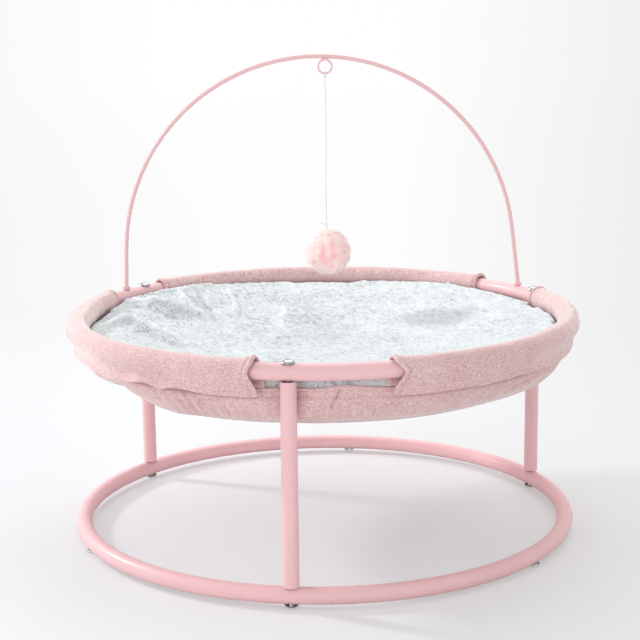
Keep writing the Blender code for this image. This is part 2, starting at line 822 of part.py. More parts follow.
def distance_to_line(point, line):
    """Least distance from a point to a line of points, seen from above."""
    nearest = math.inf
    for start, end in zip(line, line[1:]):
        along = end - start
        share = (point - start).dot(along) / along.length_squared
        nearest = min(nearest, (point - start - along * min(max(share, 0.0), 1.0)).length)
    return nearest


def pad_rim_drop(angle):
    """Drop of the plush edge below the ring's centre line."""
    return PAD_RIM_DROP - sum(rise * hump(angle, middle, w) for middle, rise, w in PAD_RIM_RISES)


def pad_top_drop(share, angle):
    """Drop of the pad's top below the ring at a share of its radius, with its soft folds."""
    rim_radius = RING_RADIUS - PAD_RIM_INSET
    sag = PAD_SAG * (1.0 - share**2) ** 1.1 + pad_rim_drop(angle) * share**6
    sag += PAD_RIM_DROP * (1.0 - share**6)
    here = ring_point(angle, rim_radius * share, 0.0)
    folds = 0.0
    for height, width, route in PAD_FOLDS:
        line = [ring_point(turn, rim_radius * reach, 0.0) for turn, reach in route]
        folds += height * math.exp(-((distance_to_line(here, line) / width) ** 2))
    at_rim = max(0.0, share - 0.86) / (1.0 - 0.86)
    return sag - folds * (1.0 - at_rim)


def build_pad(plush):
    """The plush pad: it lies on the sling and rises to a soft rim inside the flaps."""
    lying, lying_middle = sling_grid(CLOTH + SEAT_GAP)
    rim_radius = RING_RADIUS - PAD_RIM_INSET
    bottom = lying[4:]
    waist = UPPER_RING_Z - 0.42 * SLING_DEPTH
    side = [[ring_point(angle, rim_radius, waist) for angle in GRID_ANGLES]]
    for inset, under_edge in ((0.0, 0.0060), (0.0022, 0.0012)):
        row = []
        for angle in GRID_ANGLES:
            height = UPPER_RING_Z - pad_rim_drop(angle) - under_edge
            row.append(ring_point(angle, rim_radius - inset, height))
        side.append(row)
    top = []
    for share in (0.97, 0.88, 0.79, 0.69, 0.58, 0.44, 0.23):
        top.append(
            [
                ring_point(angle, rim_radius * share, UPPER_RING_Z - pad_top_drop(share, angle))
                for angle in GRID_ANGLES
            ]
        )
    outer = side[::-1] + bottom
    inner_middle = Vector((0, 0, UPPER_RING_Z - pad_top_drop(0.0, 0.0)))
    shape = bowl_shape(outer, lying_middle, top, inner_middle)
    add_object("plush_pad", shape, plush, (0, 0, 0), 80.0)


def strip_stack():
    """Room between the sling and a flap for the two fastening strips."""
    return 2 * STRIP_THICKNESS + 3 * SEAT_GAP


def flap_inner_line(drift):
    """Section of a flap's inner face, as (outward, up) pairs from the ring's centre line."""
    sling_inset = sling_outline()[0][0]
    hem_out = strip_stack() - sling_outline()[2][0]
    clear = TUBE_RADIUS + SEAT_GAP
    foot_up = SEAT_GAP - SLING_RIM_DROP
    line = [(-sling_inset, foot_up), (-sling_inset, foot_up + SEAT_GAP)]
    for turn in range(210, -31, -30):
        angle = math.radians(turn)
        line.append((clear * math.cos(angle), clear * math.sin(angle)))
    strip_top = HEM_DROP - STRIP_HEM_MARGIN - STRIP_HEIGHT
    line.append((hem_out + drift * 0.5, -strip_top + SEAT_GAP))
    line.append((hem_out + drift, -HEM_DROP - drift))
    return line


def offset_line(line, distance):
    """A line moved to its left by a distance."""
    moved = []
    for index, point in enumerate(line):
        before = Vector(line[max(index - 1, 0)])
        after = Vector(line[min(index + 1, len(line) - 1)])
        here = Vector(point)
        ways = []
        for way in (here - before, after - here):
            if way.length > 0:
                ways.append(way.normalized())
        mean = sum(ways, Vector((0.0, 0.0))).normalized()
        stretch = 1.0 / max(mean.dot(ways[0]), 0.5)
        moved.append((here.x - mean.y * distance * stretch, here.y + mean.x * distance * stretch))
    return moved


def span_angles(first, last):
    """Both ends of a span and the ring's own points between them."""
    apart = GRID_STEP / 20
    between = []
    for angle in GRID_ANGLES:
        for turned in (angle, angle - 360.0):
            if first + apart < turned < last - apart:
                between.append(turned)
    return [first, *sorted(between), last]


def end_reach(outward, up, flare):
    """Extra width of a flap's end, in degrees. It is narrowest at the ring's outer side."""
    over_ring, at_root, at_hem = flare
    if outward > 0 and up < 0:
        return at_hem * min(-up / HEM_DROP, 1.0)
    if outward > 0:
        return over_ring * min(up / TUBE_RADIUS, 1.0)
    below_top = min((TUBE_RADIUS - up) / (TUBE_RADIUS + SLING_RIM_DROP), 1.0)
    return over_ring + (at_root - over_ring) * max(below_top, 0.0)


def build_flap(name, linen):
    """A linen flap: up inside the ring, over it and down outside to its hem."""
    first_end, last_end = FLAP_ENDS[name]
    angles = span_angles(first_end[0], last_end[0])
    sections = []
    for angle in angles:
        pucker = 0.5 + 0.5 * wave(angle, 13, 1.2) * wave(angle, 5, 0.3)
        line = flap_inner_line(0.0016 * pucker)
        outline = line + offset_line(line, FLAP_CLOTH)[::-1]
        section = []
        for outward, up in outline:
            turned = angle
            if angle == angles[0]:
                turned -= end_reach(outward, up, first_end[1:])
            if angle == angles[-1]:
                turned += end_reach(outward, up, last_end[1:])
            section.append(ring_point(turned, RING_RADIUS + outward, UPPER_RING_Z + up))
        sections.append(section)
    add_object("flap_" + name, loft(sections), linen, (0, 0, 0), 60.0)


def build_strips(name, tape):
    """The loop strip on the sling and the hook strip in the flap that it closes with."""
    first_end, last_end = FLAP_ENDS[name]
    angles = span_angles(first_end[0] + STRIP_END_MARGIN, last_end[0] - STRIP_END_MARGIN)
    low = UPPER_RING_Z - HEM_DROP + STRIP_HEM_MARGIN
    sling_face = RING_RADIUS - sling_outline()[2][0]
    for label, layer in (("loop_strip_", 0), ("hook_strip_", 1)):
        inner = sling_face + SEAT_GAP + layer * (STRIP_THICKNESS + SEAT_GAP)
        outer = inner + STRIP_THICKNESS
        sections = []
        for angle in angles:
            sections.append(
                [
                    ring_point(angle, inner, low),
                    ring_point(angle, outer, low),
                    ring_point(angle, outer, low + STRIP_HEIGHT),
                    ring_point(angle, inner, low + STRIP_HEIGHT),
                ]
            )
        add_object(label + name, loft(sections), tape)


def build_bed():
    """Build every piece of the bed."""
    clear_scene()
    paint = make_finish("pink_paint", (0.81, 0.50, 0.53), 0.38)
    steel = make_finish("plated_steel", (0.72, 0.72, 0.73), 0.22, 1.0)
    clear_plastic = make_finish("clear_plastic", (0.86, 0.88, 0.87), 0.25)
    linen = make_finish("pink_linen", (0.72, 0.50, 0.50), 0.90)
    plush = make_finish("grey_plush", (0.76, 0.80, 0.82), 0.95)
    tape = make_finish("fastening_tape", (0.70, 0.46, 0.47), 0.95)
    fluff = make_finish("pompom_fluff", (0.90, 0.62, 0.62), 0.98)
    string_finish = make_finish("white_string", (0.85, 0.86, 0.86), 0.60)

    build_rings(paint)
    for index, name in enumerate(LEG_NAMES):
        build_leg(name, leg_angle(index), paint, steel)
    build_screws(steel)
    build_feet(clear_plastic)
    build_hoop(paint, steel)
    build_eyelet(paint)

    loop_pivot = add_pivot("loop_pivot", loop_pivot_point())
    toy_pivot = add_pivot("toy_pivot", upper_knot_point())
    build_loop(string_finish, loop_pivot)
    build_string(string_finish, toy_pivot)
    build_pompom(fluff, string_finish, toy_pivot)

    hang_from(toy_pivot, loop_pivot)

    build_sling(linen)
    build_pad(plush)
    for name in FLAP_ENDS:
        build_flap(name, linen)
        build_strips(name, tape)


build_bed()
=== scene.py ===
import json
import math
import random

import bmesh
import bpy
import numpy as np
from mathutils import Matrix, Vector, noise


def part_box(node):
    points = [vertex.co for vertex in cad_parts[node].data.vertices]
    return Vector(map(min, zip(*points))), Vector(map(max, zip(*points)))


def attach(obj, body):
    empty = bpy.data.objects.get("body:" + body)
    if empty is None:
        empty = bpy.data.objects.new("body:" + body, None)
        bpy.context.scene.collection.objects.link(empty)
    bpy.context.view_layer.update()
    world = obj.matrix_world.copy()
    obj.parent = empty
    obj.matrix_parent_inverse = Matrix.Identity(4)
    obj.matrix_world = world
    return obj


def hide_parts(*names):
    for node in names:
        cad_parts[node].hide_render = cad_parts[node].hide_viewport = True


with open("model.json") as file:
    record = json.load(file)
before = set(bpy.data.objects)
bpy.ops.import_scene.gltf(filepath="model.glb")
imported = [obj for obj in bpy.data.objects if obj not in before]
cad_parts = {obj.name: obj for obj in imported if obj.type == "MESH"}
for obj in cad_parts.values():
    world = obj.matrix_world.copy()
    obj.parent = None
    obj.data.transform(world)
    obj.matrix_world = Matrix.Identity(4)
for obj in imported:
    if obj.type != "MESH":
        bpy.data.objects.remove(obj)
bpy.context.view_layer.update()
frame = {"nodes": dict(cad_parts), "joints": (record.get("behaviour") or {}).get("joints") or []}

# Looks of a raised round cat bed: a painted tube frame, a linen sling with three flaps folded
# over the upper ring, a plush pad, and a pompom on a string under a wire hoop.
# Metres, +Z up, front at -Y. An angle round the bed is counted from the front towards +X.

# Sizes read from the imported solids
ring_low, ring_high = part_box("upper_ring")
TUBE = (ring_high.z - ring_low.z) / 2
RING_Z = (ring_high.z + ring_low.z) / 2
RING = ring_high.x - TUBE
pompom_low, pompom_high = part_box("pompom")
POMPOM_MIDDLE = (pompom_low + pompom_high) / 2
POMPOM_REACH = (pompom_high.z - pompom_low.z) / 2
joint_place = {joint["name"]: Vector(joint["pos_m"]) for joint in frame["joints"]}
LOOP_PIVOT = joint_place["toy_swing_fore_aft"]
UPPER_KNOT = joint_place["toy_swing_sideways"]

# Camera, fitted to the two rings of the photograph: metres, degrees and millimetres of lens
CAMERA_PLACE = (0.0, -1.3591, 0.46066)
CAMERA_YAW = 0.11
CAMERA_PITCH = 11.30
CAMERA_ROLL = -0.63
CAMERA_LENS = 85.07
CAMERA_SHIFT = -0.0084

# Light: strength of the surroundings, then each lamp's name, place, aim, size and watts
SURROUND_LIGHT = 0.79
LAMPS = (
    ("key", (-2.08, 0.84, 1.35), (0.0, 0.0, 0.12), 0.30, 33.5),
    ("overhead", (0.2, 1.5, 2.3), (0.0, 0.0, 0.15), 2.0, 23.0),
    ("low_fill", (-1.5, -2.2, 0.50), (0.0, 0.0, 0.08), 1.4, 12.5),
    ("right_fill", (1.9, -1.5, 0.55), (0.0, 0.0, 0.10), 1.4, 2.4),
)

# Painted light from left to right, dimmer towards the right: the glow of the backdrop, of the
# floor far behind the bed and of the floor near the bed; then the floor's colour behind and in
# front of the bed's front, a painted shade that is darker behind the bed and darkest there on the
# left
BACKDROP_SHADES = (
    (0.00, (0.945, 0.945, 0.948)), (0.26, (1.000, 1.000, 1.000)), (0.62, (0.998, 0.998, 0.998)),
    (1.00, (0.866, 0.866, 0.868)),
)
BACK_FLOOR_SHADES = (
    (0.00, (0.930, 0.930, 0.934)), (0.36, (0.984, 0.984, 0.986)), (0.62, (0.980, 0.980, 0.982)),
    (1.00, (0.860, 0.860, 0.862)),
)
NEAR_FLOOR_SHADES = ((0.0, (0.848, 0.868, 0.895)), (1.0, (0.785, 0.788, 0.792)))
BEHIND_PAINTED_SHADE = (
    (0.05, (0.725, 0.738, 0.758)), (0.22, (0.795, 0.808, 0.826)), (1.00, (0.770, 0.773, 0.776)),
)
FRONT_PAINTED_SHADE = (0.850, 0.863, 0.880, 1), (0.838, 0.841, 0.845, 1)
# Slope to each side over which the shades run, and the depth Y at which their fan turns
SHADE_SPREAD = 0.22
FAN_TURN = -0.45
# Floor: its share of glow beside the bed, its half width and its drop below the feet
FLOOR_GLOW = 0.42
FLOOR_HALF = 9.0
FLOOR_DROP = 0.0002

# String, as the solids have it
STRING = 0.0010
STRING_LENGTH = 0.1420
KNOT = 0.0026
GAP = 0.0003
EYELET_WIRE = 0.0019

# Sling and pad
SLING_DEPTH = 0.0585
SLING_CLOTH = 0.0016
PAD_RIM_INSET = 0.0108
PAD_RIM_DROP = 0.0026
PAD_SAG = 0.0310

# Flaps: thickness, drop of the root and of the hem, distance of the hem's seam, and distance of
# the end seams in degrees
FLAP_CLOTH = 0.0023
ROOT_DROP = 0.0117
HEM_DROP = 0.0212
HEM_SEAM = 0.0052
BAND = 1.0
# Length and radius of the stitches
HEM_STITCH = 0.0024, 0.00022
END_STITCH = 0.0018, 0.00030
# Fastening tapes: inset from the ring's line, step from the loop tape to the hook tape, thickness
TAPE_INSET = 0.0022
TAPE_STEP = 0.0013
TAPE_CLOTH = 0.0009

# Deeper pink partings of the pompom: places right and up from its middle, then half width and
# half height
PARTINGS = (
    (-0.0032, 0.0066, 0.0020, 0.0062), (-0.0052, -0.0032, 0.0032, 0.0064),
    (0.0060, 0.0098, 0.0018, 0.0064), (0.0068, -0.0010, 0.0032, 0.0044),
    (-0.0132, -0.0077, 0.0022, 0.0054),
)


def operator(operation, swapped=False):
    """One of Python's operators on a wire. It adds a Math node."""

    def method(wire, other):
        pair = (other, wire) if swapped else (wire, other)
        return wire.graph.maths(operation, *pair)

    return method


class Wire:
    """A socket of a graph, for use in Python expressions."""

    __add__, __radd__ = operator("ADD"), operator("ADD", True)
    __sub__, __rsub__ = operator("SUBTRACT"), operator("SUBTRACT", True)
    __mul__, __rmul__ = operator("MULTIPLY"), operator("MULTIPLY", True)
    __truediv__ = operator("DIVIDE")

    def __init__(self, graph, socket):
        self.graph = graph
        self.socket = socket


class Graph:
    """A node tree, built from Python expressions."""

    def __init__(self, tree, prefix="ShaderNode"):
        self.tree = tree
        self.prefix = prefix

    def node(self, kind, settings=None, sockets=None, output=0):
        """Add a node: its settings come first, then the values or links of its sockets."""
        made = self.tree.nodes.new(self.prefix + kind)
        for label, value in (settings or {}).items():
            setattr(made, label, value)
        for label, value in (sockets or {}).items():
            self.feed(made.inputs[label], value)
        return Wire(self, made.outputs[output]) if len(made.outputs) else None

    def feed(self, socket, value):
        """Link a wire to a socket, or set a value on it."""
        if isinstance(value, Wire):
            self.tree.links.new(value.socket, socket)
        else:
            socket.default_value = value

    def maths(self, operation, *values):
        """The result of a Math node."""
        return self.node("Math", {"operation": operation}, dict(enumerate(values)))

    def ramp(self, value, *stops):
        """Colours along a value."""
        colour = self.node("ValToRGB", {}, {"Fac": value})
        elements = colour.socket.node.color_ramp.elements
        while len(elements) < len(stops):
            elements.new(1.0)
        for element, (position, shade) in zip(elements, stops):
            element.position = position
            element.color = (*shade, 1.0)
        return colour

    def clamp(self, value, low, high):
        """A value stretched from low..high to 0..1 and held there."""
        return self.node("MapRange", {}, {"Value": value, "From Min": low, "From Max": high})


class Finish(Graph):
    """A material, with its shader's constants set on the sockets themselves."""

    def __init__(self, name, **constants):
        self.material = bpy.data.materials.new(name)
        self.material.use_nodes = True
        super().__init__(self.material.node_tree)
        self.shader = self.tree.nodes["Principled BSDF"]
        self.place = self.node("TexCoord", output="Object")
        for label, value in constants.items():
            self.shader.inputs[label.replace("_", " ")].default_value = value

    def split(self, axes="XYZ"):
        """X, Y and Z of a place on the piece."""
        return [self.node("SeparateXYZ", {}, {0: self.place}, output=axis) for axis in axes]

    def gather(self, x, y, z):
        """A vector from three numbers."""
        return self.node("CombineXYZ", {}, {"X": x, "Y": y, "Z": z})

    def grain(self, size, detail=2.0, vector=None, rough=0.5):
        """Soft noise from 0 to 1, of grains of a size in metres."""
        sockets = {
            "Vector": vector or self.place,
            "Scale": 1.0 / size,
            "Detail": detail,
            "Roughness": rough,
        }
        return self.node("TexNoise", {}, sockets)

    def blend(self, share, first, second):
        """A colour between two colours."""
        settings = {"data_type": "RGBA"}
        return self.node("Mix", settings, {0: share, 6: first, 7: second}, output=2)

    def paint(self, label, value):
        """Feed a socket of the shader."""
        self.feed(self.shader.inputs[label], value)

    def cover(self, colour, roughness, relief, distance, strength):
        """Feed the shader's colour, roughness and bumps. The distance is the bumps' height."""
        self.paint("Base Color", colour)
        self.paint("Roughness", roughness)
        sockets = {"Height": relief, "Distance": distance, "Strength": strength}
        self.paint("Normal", self.node("Bump", {}, sockets))


def ring_point(angle, radius, height):
    """A point at an angle round the bed."""
    turn = math.radians(angle)
    return Vector((radius * math.sin(turn), -radius * math.cos(turn), height))


def half_turn(angle):
    """An angle as -180 to 180 degrees."""
    return (angle + 180.0) % 360.0 - 180.0


def hump(value, middle, width):
    """A smooth hump, one at its middle."""
    return math.exp(-(((value - middle) / width) ** 2))


def turn_hump(angle, middle, width):
    """A smooth hump round an angle in degrees."""
    return hump(half_turn(angle - middle), 0.0, width)


def ease(value, low, high):
    """A smooth step from 0 at low to 1 at high."""
    share = min(max((value - low) / (high - low), 0.0), 1.0)
    return share * share * (3.0 - 2.0 * share)


def window(value, start, low, high, end):
    """A smooth hill from 0 at start over 1 between low and high to 0 at end."""
    return ease(value, start, low) * (1.0 - ease(value, high, end))


def lump(x, y, z):
    """Soft noise from about -1 to 1."""
    return noise.noise(Vector((x, y, z)))


def smooth_run(chosen, count):
    """Points at even steps of a smooth curve through chosen points."""
    route = [Vector(point) for point in chosen]
    padded = [route[0] * 2 - route[1], *route, route[-1] * 2 - route[-2]]
    points = []
    for step in range(count):
        along = (len(route) - 1) * step / (count - 1)
        start = min(int(along), len(route) - 2)
        t = along - start
        a, b, c, d = padded[start : start + 4]
        spread = (c - a) * t + (a * 2 - b * 5 + c * 4 - d) * t**2
        spread = spread + (b * 3 - a - c * 3 + d) * t**3
        points.append(b + spread * 0.5)
    return points


def put(name, data):
    """A new object in the scene."""
    made = bpy.data.objects.new(name, data)
    bpy.context.scene.collection.objects.link(made)
    return made


def put_mesh(name, shape, finish):
    """A new object of a bmesh."""
    mesh = bpy.data.meshes.new(name)
    shape.to_mesh(mesh)
    shape.free()
    mesh.materials.append(finish.material)
    return put(name, mesh)


def round_off(piece, levels):
    """Subdivide a piece smoothly."""
    rounding = piece.modifiers.new("rounding", "SUBSURF")
    rounding.levels = levels
    rounding.render_levels = levels


def add_piece(name, shape, finish, body, levels=0):
    """Make a smooth mesh piece of a bmesh. It rides on a body."""
    piece = put_mesh(name, shape, finish)
    piece.data.shade_smooth()
    if levels:
        round_off(piece, levels)
    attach(piece, body)
    return piece


def skin_rings(shape, rings):
    """Quads between closed rings of points."""
    verts = [[shape.verts.new(point) for point in ring] for ring in rings]
    count = len(verts[0])
    for here, there in zip(verts, verts[1:]):
        for k in range(count):
            after = (k + 1) % count
            shape.faces.new((here[k], here[after], there[after], there[k]))
    return verts


def cap_ends(shape, verts):
    """Flat faces over the first and the last ring."""
    shape.faces.new(verts[0][::-1])
    shape.faces.new(verts[-1])


def fan_in(shape, ring):
    """Close a wide ring with triangles to its middle."""
    count = len(ring)
    middle = shape.verts.new(sum((vert.co for vert in ring), Vector()) / count)
    for k in range(count):
        shape.faces.new((ring[k], ring[(k + 1) % count], middle))


def tube_into(shape, points, radii, sides, capped=True):
    """A round tube along points, added to a bmesh. It has one radius or a list of them."""
    if not isinstance(radii, list):
        radii = [radii] * len(points)
    rings = []
    side = None
    for index, point in enumerate(points):
        before = points[max(index - 1, 0)]
        after = points[min(index + 1, len(points) - 1)]
        along = (after - before).normalized()
        if side is None:
            side = along.orthogonal().normalized()
        side = (side - along * side.dot(along)).normalized()
        other = along.cross(side)
        radius = radii[index]
        ring = []
        for k in range(sides):
            turn = math.tau * k / sides
            across = side * (radius * math.cos(turn))
            ring.append(point + across + other * (radius * math.sin(turn)))
        rings.append(ring)
    verts = skin_rings(shape, rings)
    if capped:
        cap_ends(shape, verts)


def powder_coat():
    """Pink powder coat with a faint orange peel."""
    finish = Finish("pink_powder_coat", Coat_Roughness=0.22, IOR=1.45, Specular_IOR_Level=0.32)
    cloudy = finish.grain(0.09)
    peel = finish.grain(0.0018)
    colour = finish.blend(cloudy, (0.810, 0.500, 0.520, 1.0), (0.852, 0.550, 0.570, 1.0))
    finish.cover(colour, 0.38 + 0.10 * finish.grain(0.012, 3.0), peel, 0.00002, 0.2)
    finish.paint("Coat Weight", 0.16 + 0.08 * cloudy)
    return finish


def bright_steel():
    """Bright plated steel of the fasteners."""
    finish = Finish("bright_plated_steel")
    rub = finish.grain(0.0007, 3.0)
    colour = finish.ramp(rub, (0.3, (0.36, 0.37, 0.38)), (0.7, (0.62, 0.63, 0.64)))
    finish.cover(colour, 0.10 + 0.14 * rub, finish.grain(0.0004), 0.00002, 0.4)
    finish.paint("Metallic", 1.0)
    return finish


def clear_plastic():
    """Clear soft plastic of the feet."""
    finish = Finish("clear_foot_plastic", Transmission_Weight=0.65, IOR=1.46)
    haze = finish.grain(0.003, 3.0)
    colour = finish.ramp(haze, (0.2, (0.86, 0.88, 0.87)), (0.8, (0.93, 0.94, 0.94)))
    finish.cover(colour, 0.16 + 0.16 * haze, finish.grain(0.0008), 0.00003, 0.4)
    return finish


def linen(name, flat_weave):
    """Heathered pink linen. Threads run round the bed and down the cloth, or straight across
    the sling's flat middle. A painted highlight makes it paler at the bed's two sides."""
    tint = (1.0, 0.96, 0.95, 1.0)
    finish = Finish(name, Sheen_Weight=0.95, Sheen_Roughness=0.36, Sheen_Tint=tint)
    x, y, z = finish.split()
    far = finish.maths("SQRT", x * x + y * y)
    around = finish.maths("ARCTAN2", x, 0 - y) * RING
    across = z - far
    if flat_weave:
        steep = finish.clamp(far, 0.180, 0.200)
        around = around * steep + x * (1 - steep)
        across = across * steep + y * (1 - steep)
    thread = 0.00072
    warp = finish.maths("SINE", around * (math.pi / thread))
    weft = finish.maths("SINE", across * (math.pi / thread))
    weave = 0.5 + 0.5 * warp * weft
    round_way = finish.gather(around / 0.0038, across / 0.0008, 0.0)
    down_way = finish.gather(around / 0.0008, across / 0.0035, 4.0)
    slub_round = finish.grain(1.0, 3.0, round_way, 0.62)
    slub_down = finish.grain(1.0, 3.0, down_way, 0.62)
    heather = finish.grain(0.0011)
    cloudy = finish.grain(0.030, 3.0)
    mottle_and_painted_light = 0.33 * slub_round + 0.27 * slub_down + 0.32 * heather + 0.08 * cloudy
    # Painted highlight: paler towards the bed's left and right sides
    mottle_and_painted_light = mottle_and_painted_light + 0.050 * finish.clamp(x, -0.170, -0.236)
    mottle_and_painted_light = mottle_and_painted_light + 0.035 * finish.clamp(x, 0.185, 0.236)
    colour = finish.ramp(
        mottle_and_painted_light,
        (0.36, (0.430, 0.225, 0.235)), (0.46, (0.640, 0.410, 0.410)),
        (0.54, (0.745, 0.525, 0.520)), (0.64, (0.895, 0.765, 0.755)),
    )
    fuzz = 0.45 * weave + 0.35 * slub_round + 0.35 * slub_down
    finish.cover(colour, 0.82 + 0.12 * heather, fuzz, 0.00030, 0.75)
    return finish


def sewing_thread():
    """Pale pink thread of the flaps' seams."""
    finish = Finish("pale_sewing_thread")
    fibre = finish.grain(0.0005)
    colour = finish.blend(fibre, (0.80, 0.62, 0.61, 1.0), (0.93, 0.82, 0.81, 1.0))
    finish.cover(colour, 0.60 + 0.20 * fibre, fibre, 0.0001, 0.5)
    return finish


def plush():
    """Mottled grey short pile, with darker hairs in streaks, a painted highlight along the fold
    crests and painted shade from the middle towards the left.
    """
    tint = (0.94, 0.98, 1.0, 1.0)
    finish = Finish("grey_mottled_plush", Sheen_Weight=0.50, Sheen_Roughness=0.55, Sheen_Tint=tint)
    x, y, z = finish.split()
    lean = finish.gather(x + 0.35 * y, y * 0.55, z * 1.2)
    hairs = finish.grain(0.0021, 3.0, lean, 0.62)
    tufts = finish.grain(0.0052, 3.0, lean, 0.55)
    patches = finish.grain(0.045, 3.0)
    crest = finish.node("Attribute", {"attribute_name": "crest"}, output=2)
    mottle_and_painted_light = 0.50 * hairs + 0.32 * tufts + 0.18 * patches
    # Painted shade, darker from the middle towards the left, and a painted highlight on the fold
    # crests
    mottle_and_painted_light = mottle_and_painted_light - 0.022 * finish.clamp(x, 0.10, -0.02) + 0.22 * crest
    colour = finish.ramp(
        mottle_and_painted_light,
        (0.34, (0.238, 0.267, 0.296)), (0.43, (0.505, 0.548, 0.571)),
        (0.50, (0.639, 0.685, 0.704)), (0.58, (0.730, 0.767, 0.778)),
        (0.70, (0.850, 0.880, 0.885)),
    )
    pile = 0.7 * hairs + 0.6 * tufts + 0.3 * finish.grain(0.0009)
    finish.cover(colour, 0.88 + 0.10 * hairs, pile, 0.0013, 0.8)
    return finish


def fluff():
    """Long pale pink fibres with deeper pink in the partings and round the middle. They glow
    faintly in their own colour as painted light, and a painted highlight makes their left side
    paler.
    """
    finish = Finish(
        "pink_pompom_fibre",
        Sheen_Weight=0.30,
        Sheen_Roughness=0.40,
        # A faint glow of painted light
        Emission_Strength=0.34,
    )
    x, y, z = finish.split()
    streaks = finish.grain(0.0056, 1.5, finish.gather(x, y, z * 0.34))
    parting = 0.0
    for right, up, half_width, half_height in PARTINGS:
        across = (x + 0.004 * (streaks - 0.5) - (POMPOM_MIDDLE.x + right)) / half_width
        along = (z - (POMPOM_MIDDLE.z + up)) / half_height
        parting = parting + finish.clamp(across * across + along * along, 1.8, 0.0)
    # Painted highlight: paler on the left side
    painted_lit_side = finish.clamp(x, 0.014, -0.014)
    hairs = finish.grain(0.0012, 2.0, finish.gather(x, y, z * 0.30))
    from_side = (x - POMPOM_MIDDLE.x) / 0.015
    from_level = (z - POMPOM_MIDDLE.z) / 0.015
    flush = finish.clamp(from_side * from_side + from_level * from_level, 1.0, 0.0)
    mottle_and_painted_light = 0.35 * streaks + 0.45 * hairs + 0.05 * painted_lit_side - 0.10 * parting
    colour = finish.ramp(
        mottle_and_painted_light - 0.07 * flush + 0.128,
        (0.32, (0.945, 0.500, 0.508)), (0.43, (0.964, 0.615, 0.602)),
        (0.50, (0.979, 0.738, 0.712)), (0.62, (0.993, 0.872, 0.838)),
    )
    finish.cover(colour, 0.80 + 0.15 * hairs, hairs, 0.0003, 0.4)
    # Painted light: the fibres glow in their own colour
    finish.paint("Emission Color", colour)
    return finish


def white_string():
    """Smooth white string with a fine twist."""
    finish = Finish("white_twisted_string")
    x, y, z = finish.split()
    lay = 0.0009
    twist = finish.maths("SINE", (z + 1.2 * x + 1.2 * y) * (math.tau / lay))
    fibre = finish.grain(0.0004)
    colour = finish.blend(fibre, (0.70, 0.72, 0.72, 1.0), (0.88, 0.89, 0.89, 1.0))
    finish.cover(colour, 0.50 + 0.20 * fibre, 0.5 + 0.5 * twist, 0.00010, 0.6)
    return finish


def fastening_tape():
    """Woven tape with its field of hooks or loops."""
    finish = Finish("pink_fastening_tape")
    nap = finish.grain(0.0006, 3.0)
    colour = finish.blend(nap, (0.47, 0.32, 0.34, 1.0), (0.72, 0.57, 0.60, 1.0))
    finish.cover(colour, 0.80 + 0.15 * nap, nap, 0.0005, 0.8)
    return finish


def add_camera():
    """The camera of the photograph."""
    lens = bpy.data.cameras.new("camera")
    lens.lens = CAMERA_LENS
    lens.sensor_width = 36.0
    lens.shift_x = CAMERA_SHIFT
    lens.clip_start = 0.01
    camera = put("camera", lens)
    yaw, pitch, roll = (math.radians(turn) for turn in (CAMERA_YAW, CAMERA_PITCH, CAMERA_ROLL))
    level = math.cos(pitch)
    forward = Vector((math.sin(yaw) * level, math.cos(yaw) * level, -math.sin(pitch)))
    across = Vector((math.cos(yaw), -math.sin(yaw), 0.0))
    over = across.cross(forward)
    right = across * math.cos(roll) + over * math.sin(roll)
    top = over * math.cos(roll) - across * math.sin(roll)
    turn = Matrix((right, top, -forward)).transposed().to_4x4()
    camera.matrix_world = Matrix.Translation(CAMERA_PLACE) @ turn
    bpy.context.scene.camera = camera


def add_world():
    """White surroundings that light the bed evenly and show white behind it."""
    world = bpy.data.worlds.new("surroundings")
    bpy.context.scene.world = world
    world.use_nodes = True
    graph = Graph(world.node_tree)
    graph.tree.nodes.clear()
    rays = ("Is Camera Ray", "Is Transmission Ray", "Is Glossy Ray")
    seen, through, mirrored = [graph.node("LightPath", output=ray) for ray in rays]
    shown = graph.maths("MAXIMUM", graph.maths("MAXIMUM", seen, through), mirrored)
    tint = (1.0, 0.995, 0.99, 1.0)
    light = graph.node("Background", {}, {"Color": tint, "Strength": SURROUND_LIGHT})
    way = graph.node("TexCoord", output="Generated")
    side = graph.node("SeparateXYZ", {}, {0: way}, output="X")
    # Painted light: the backdrop shown behind the bed glows dimmer towards the right
    shade = graph.ramp(graph.clamp(side, -SHADE_SPREAD, SHADE_SPREAD), *BACKDROP_SHADES)
    backdrop = graph.node("Background", {}, {"Color": shade})
    mixed = graph.node("MixShader", {}, {0: shown, 1: light, 2: backdrop})
    graph.node("OutputWorld", {}, {0: mixed})


def add_lamp(name, place, aim, size, power):
    """A large soft lamp."""
    light = bpy.data.lights.new(name, "AREA")
    light.shape = "DISK"
    light.size = size
    light.energy = power
    way = Vector(aim) - Vector(place)
    turn = way.to_track_quat("-Z", "Y").to_matrix().to_4x4()
    put(name, light).matrix_world = Matrix.Translation(place) @ turn


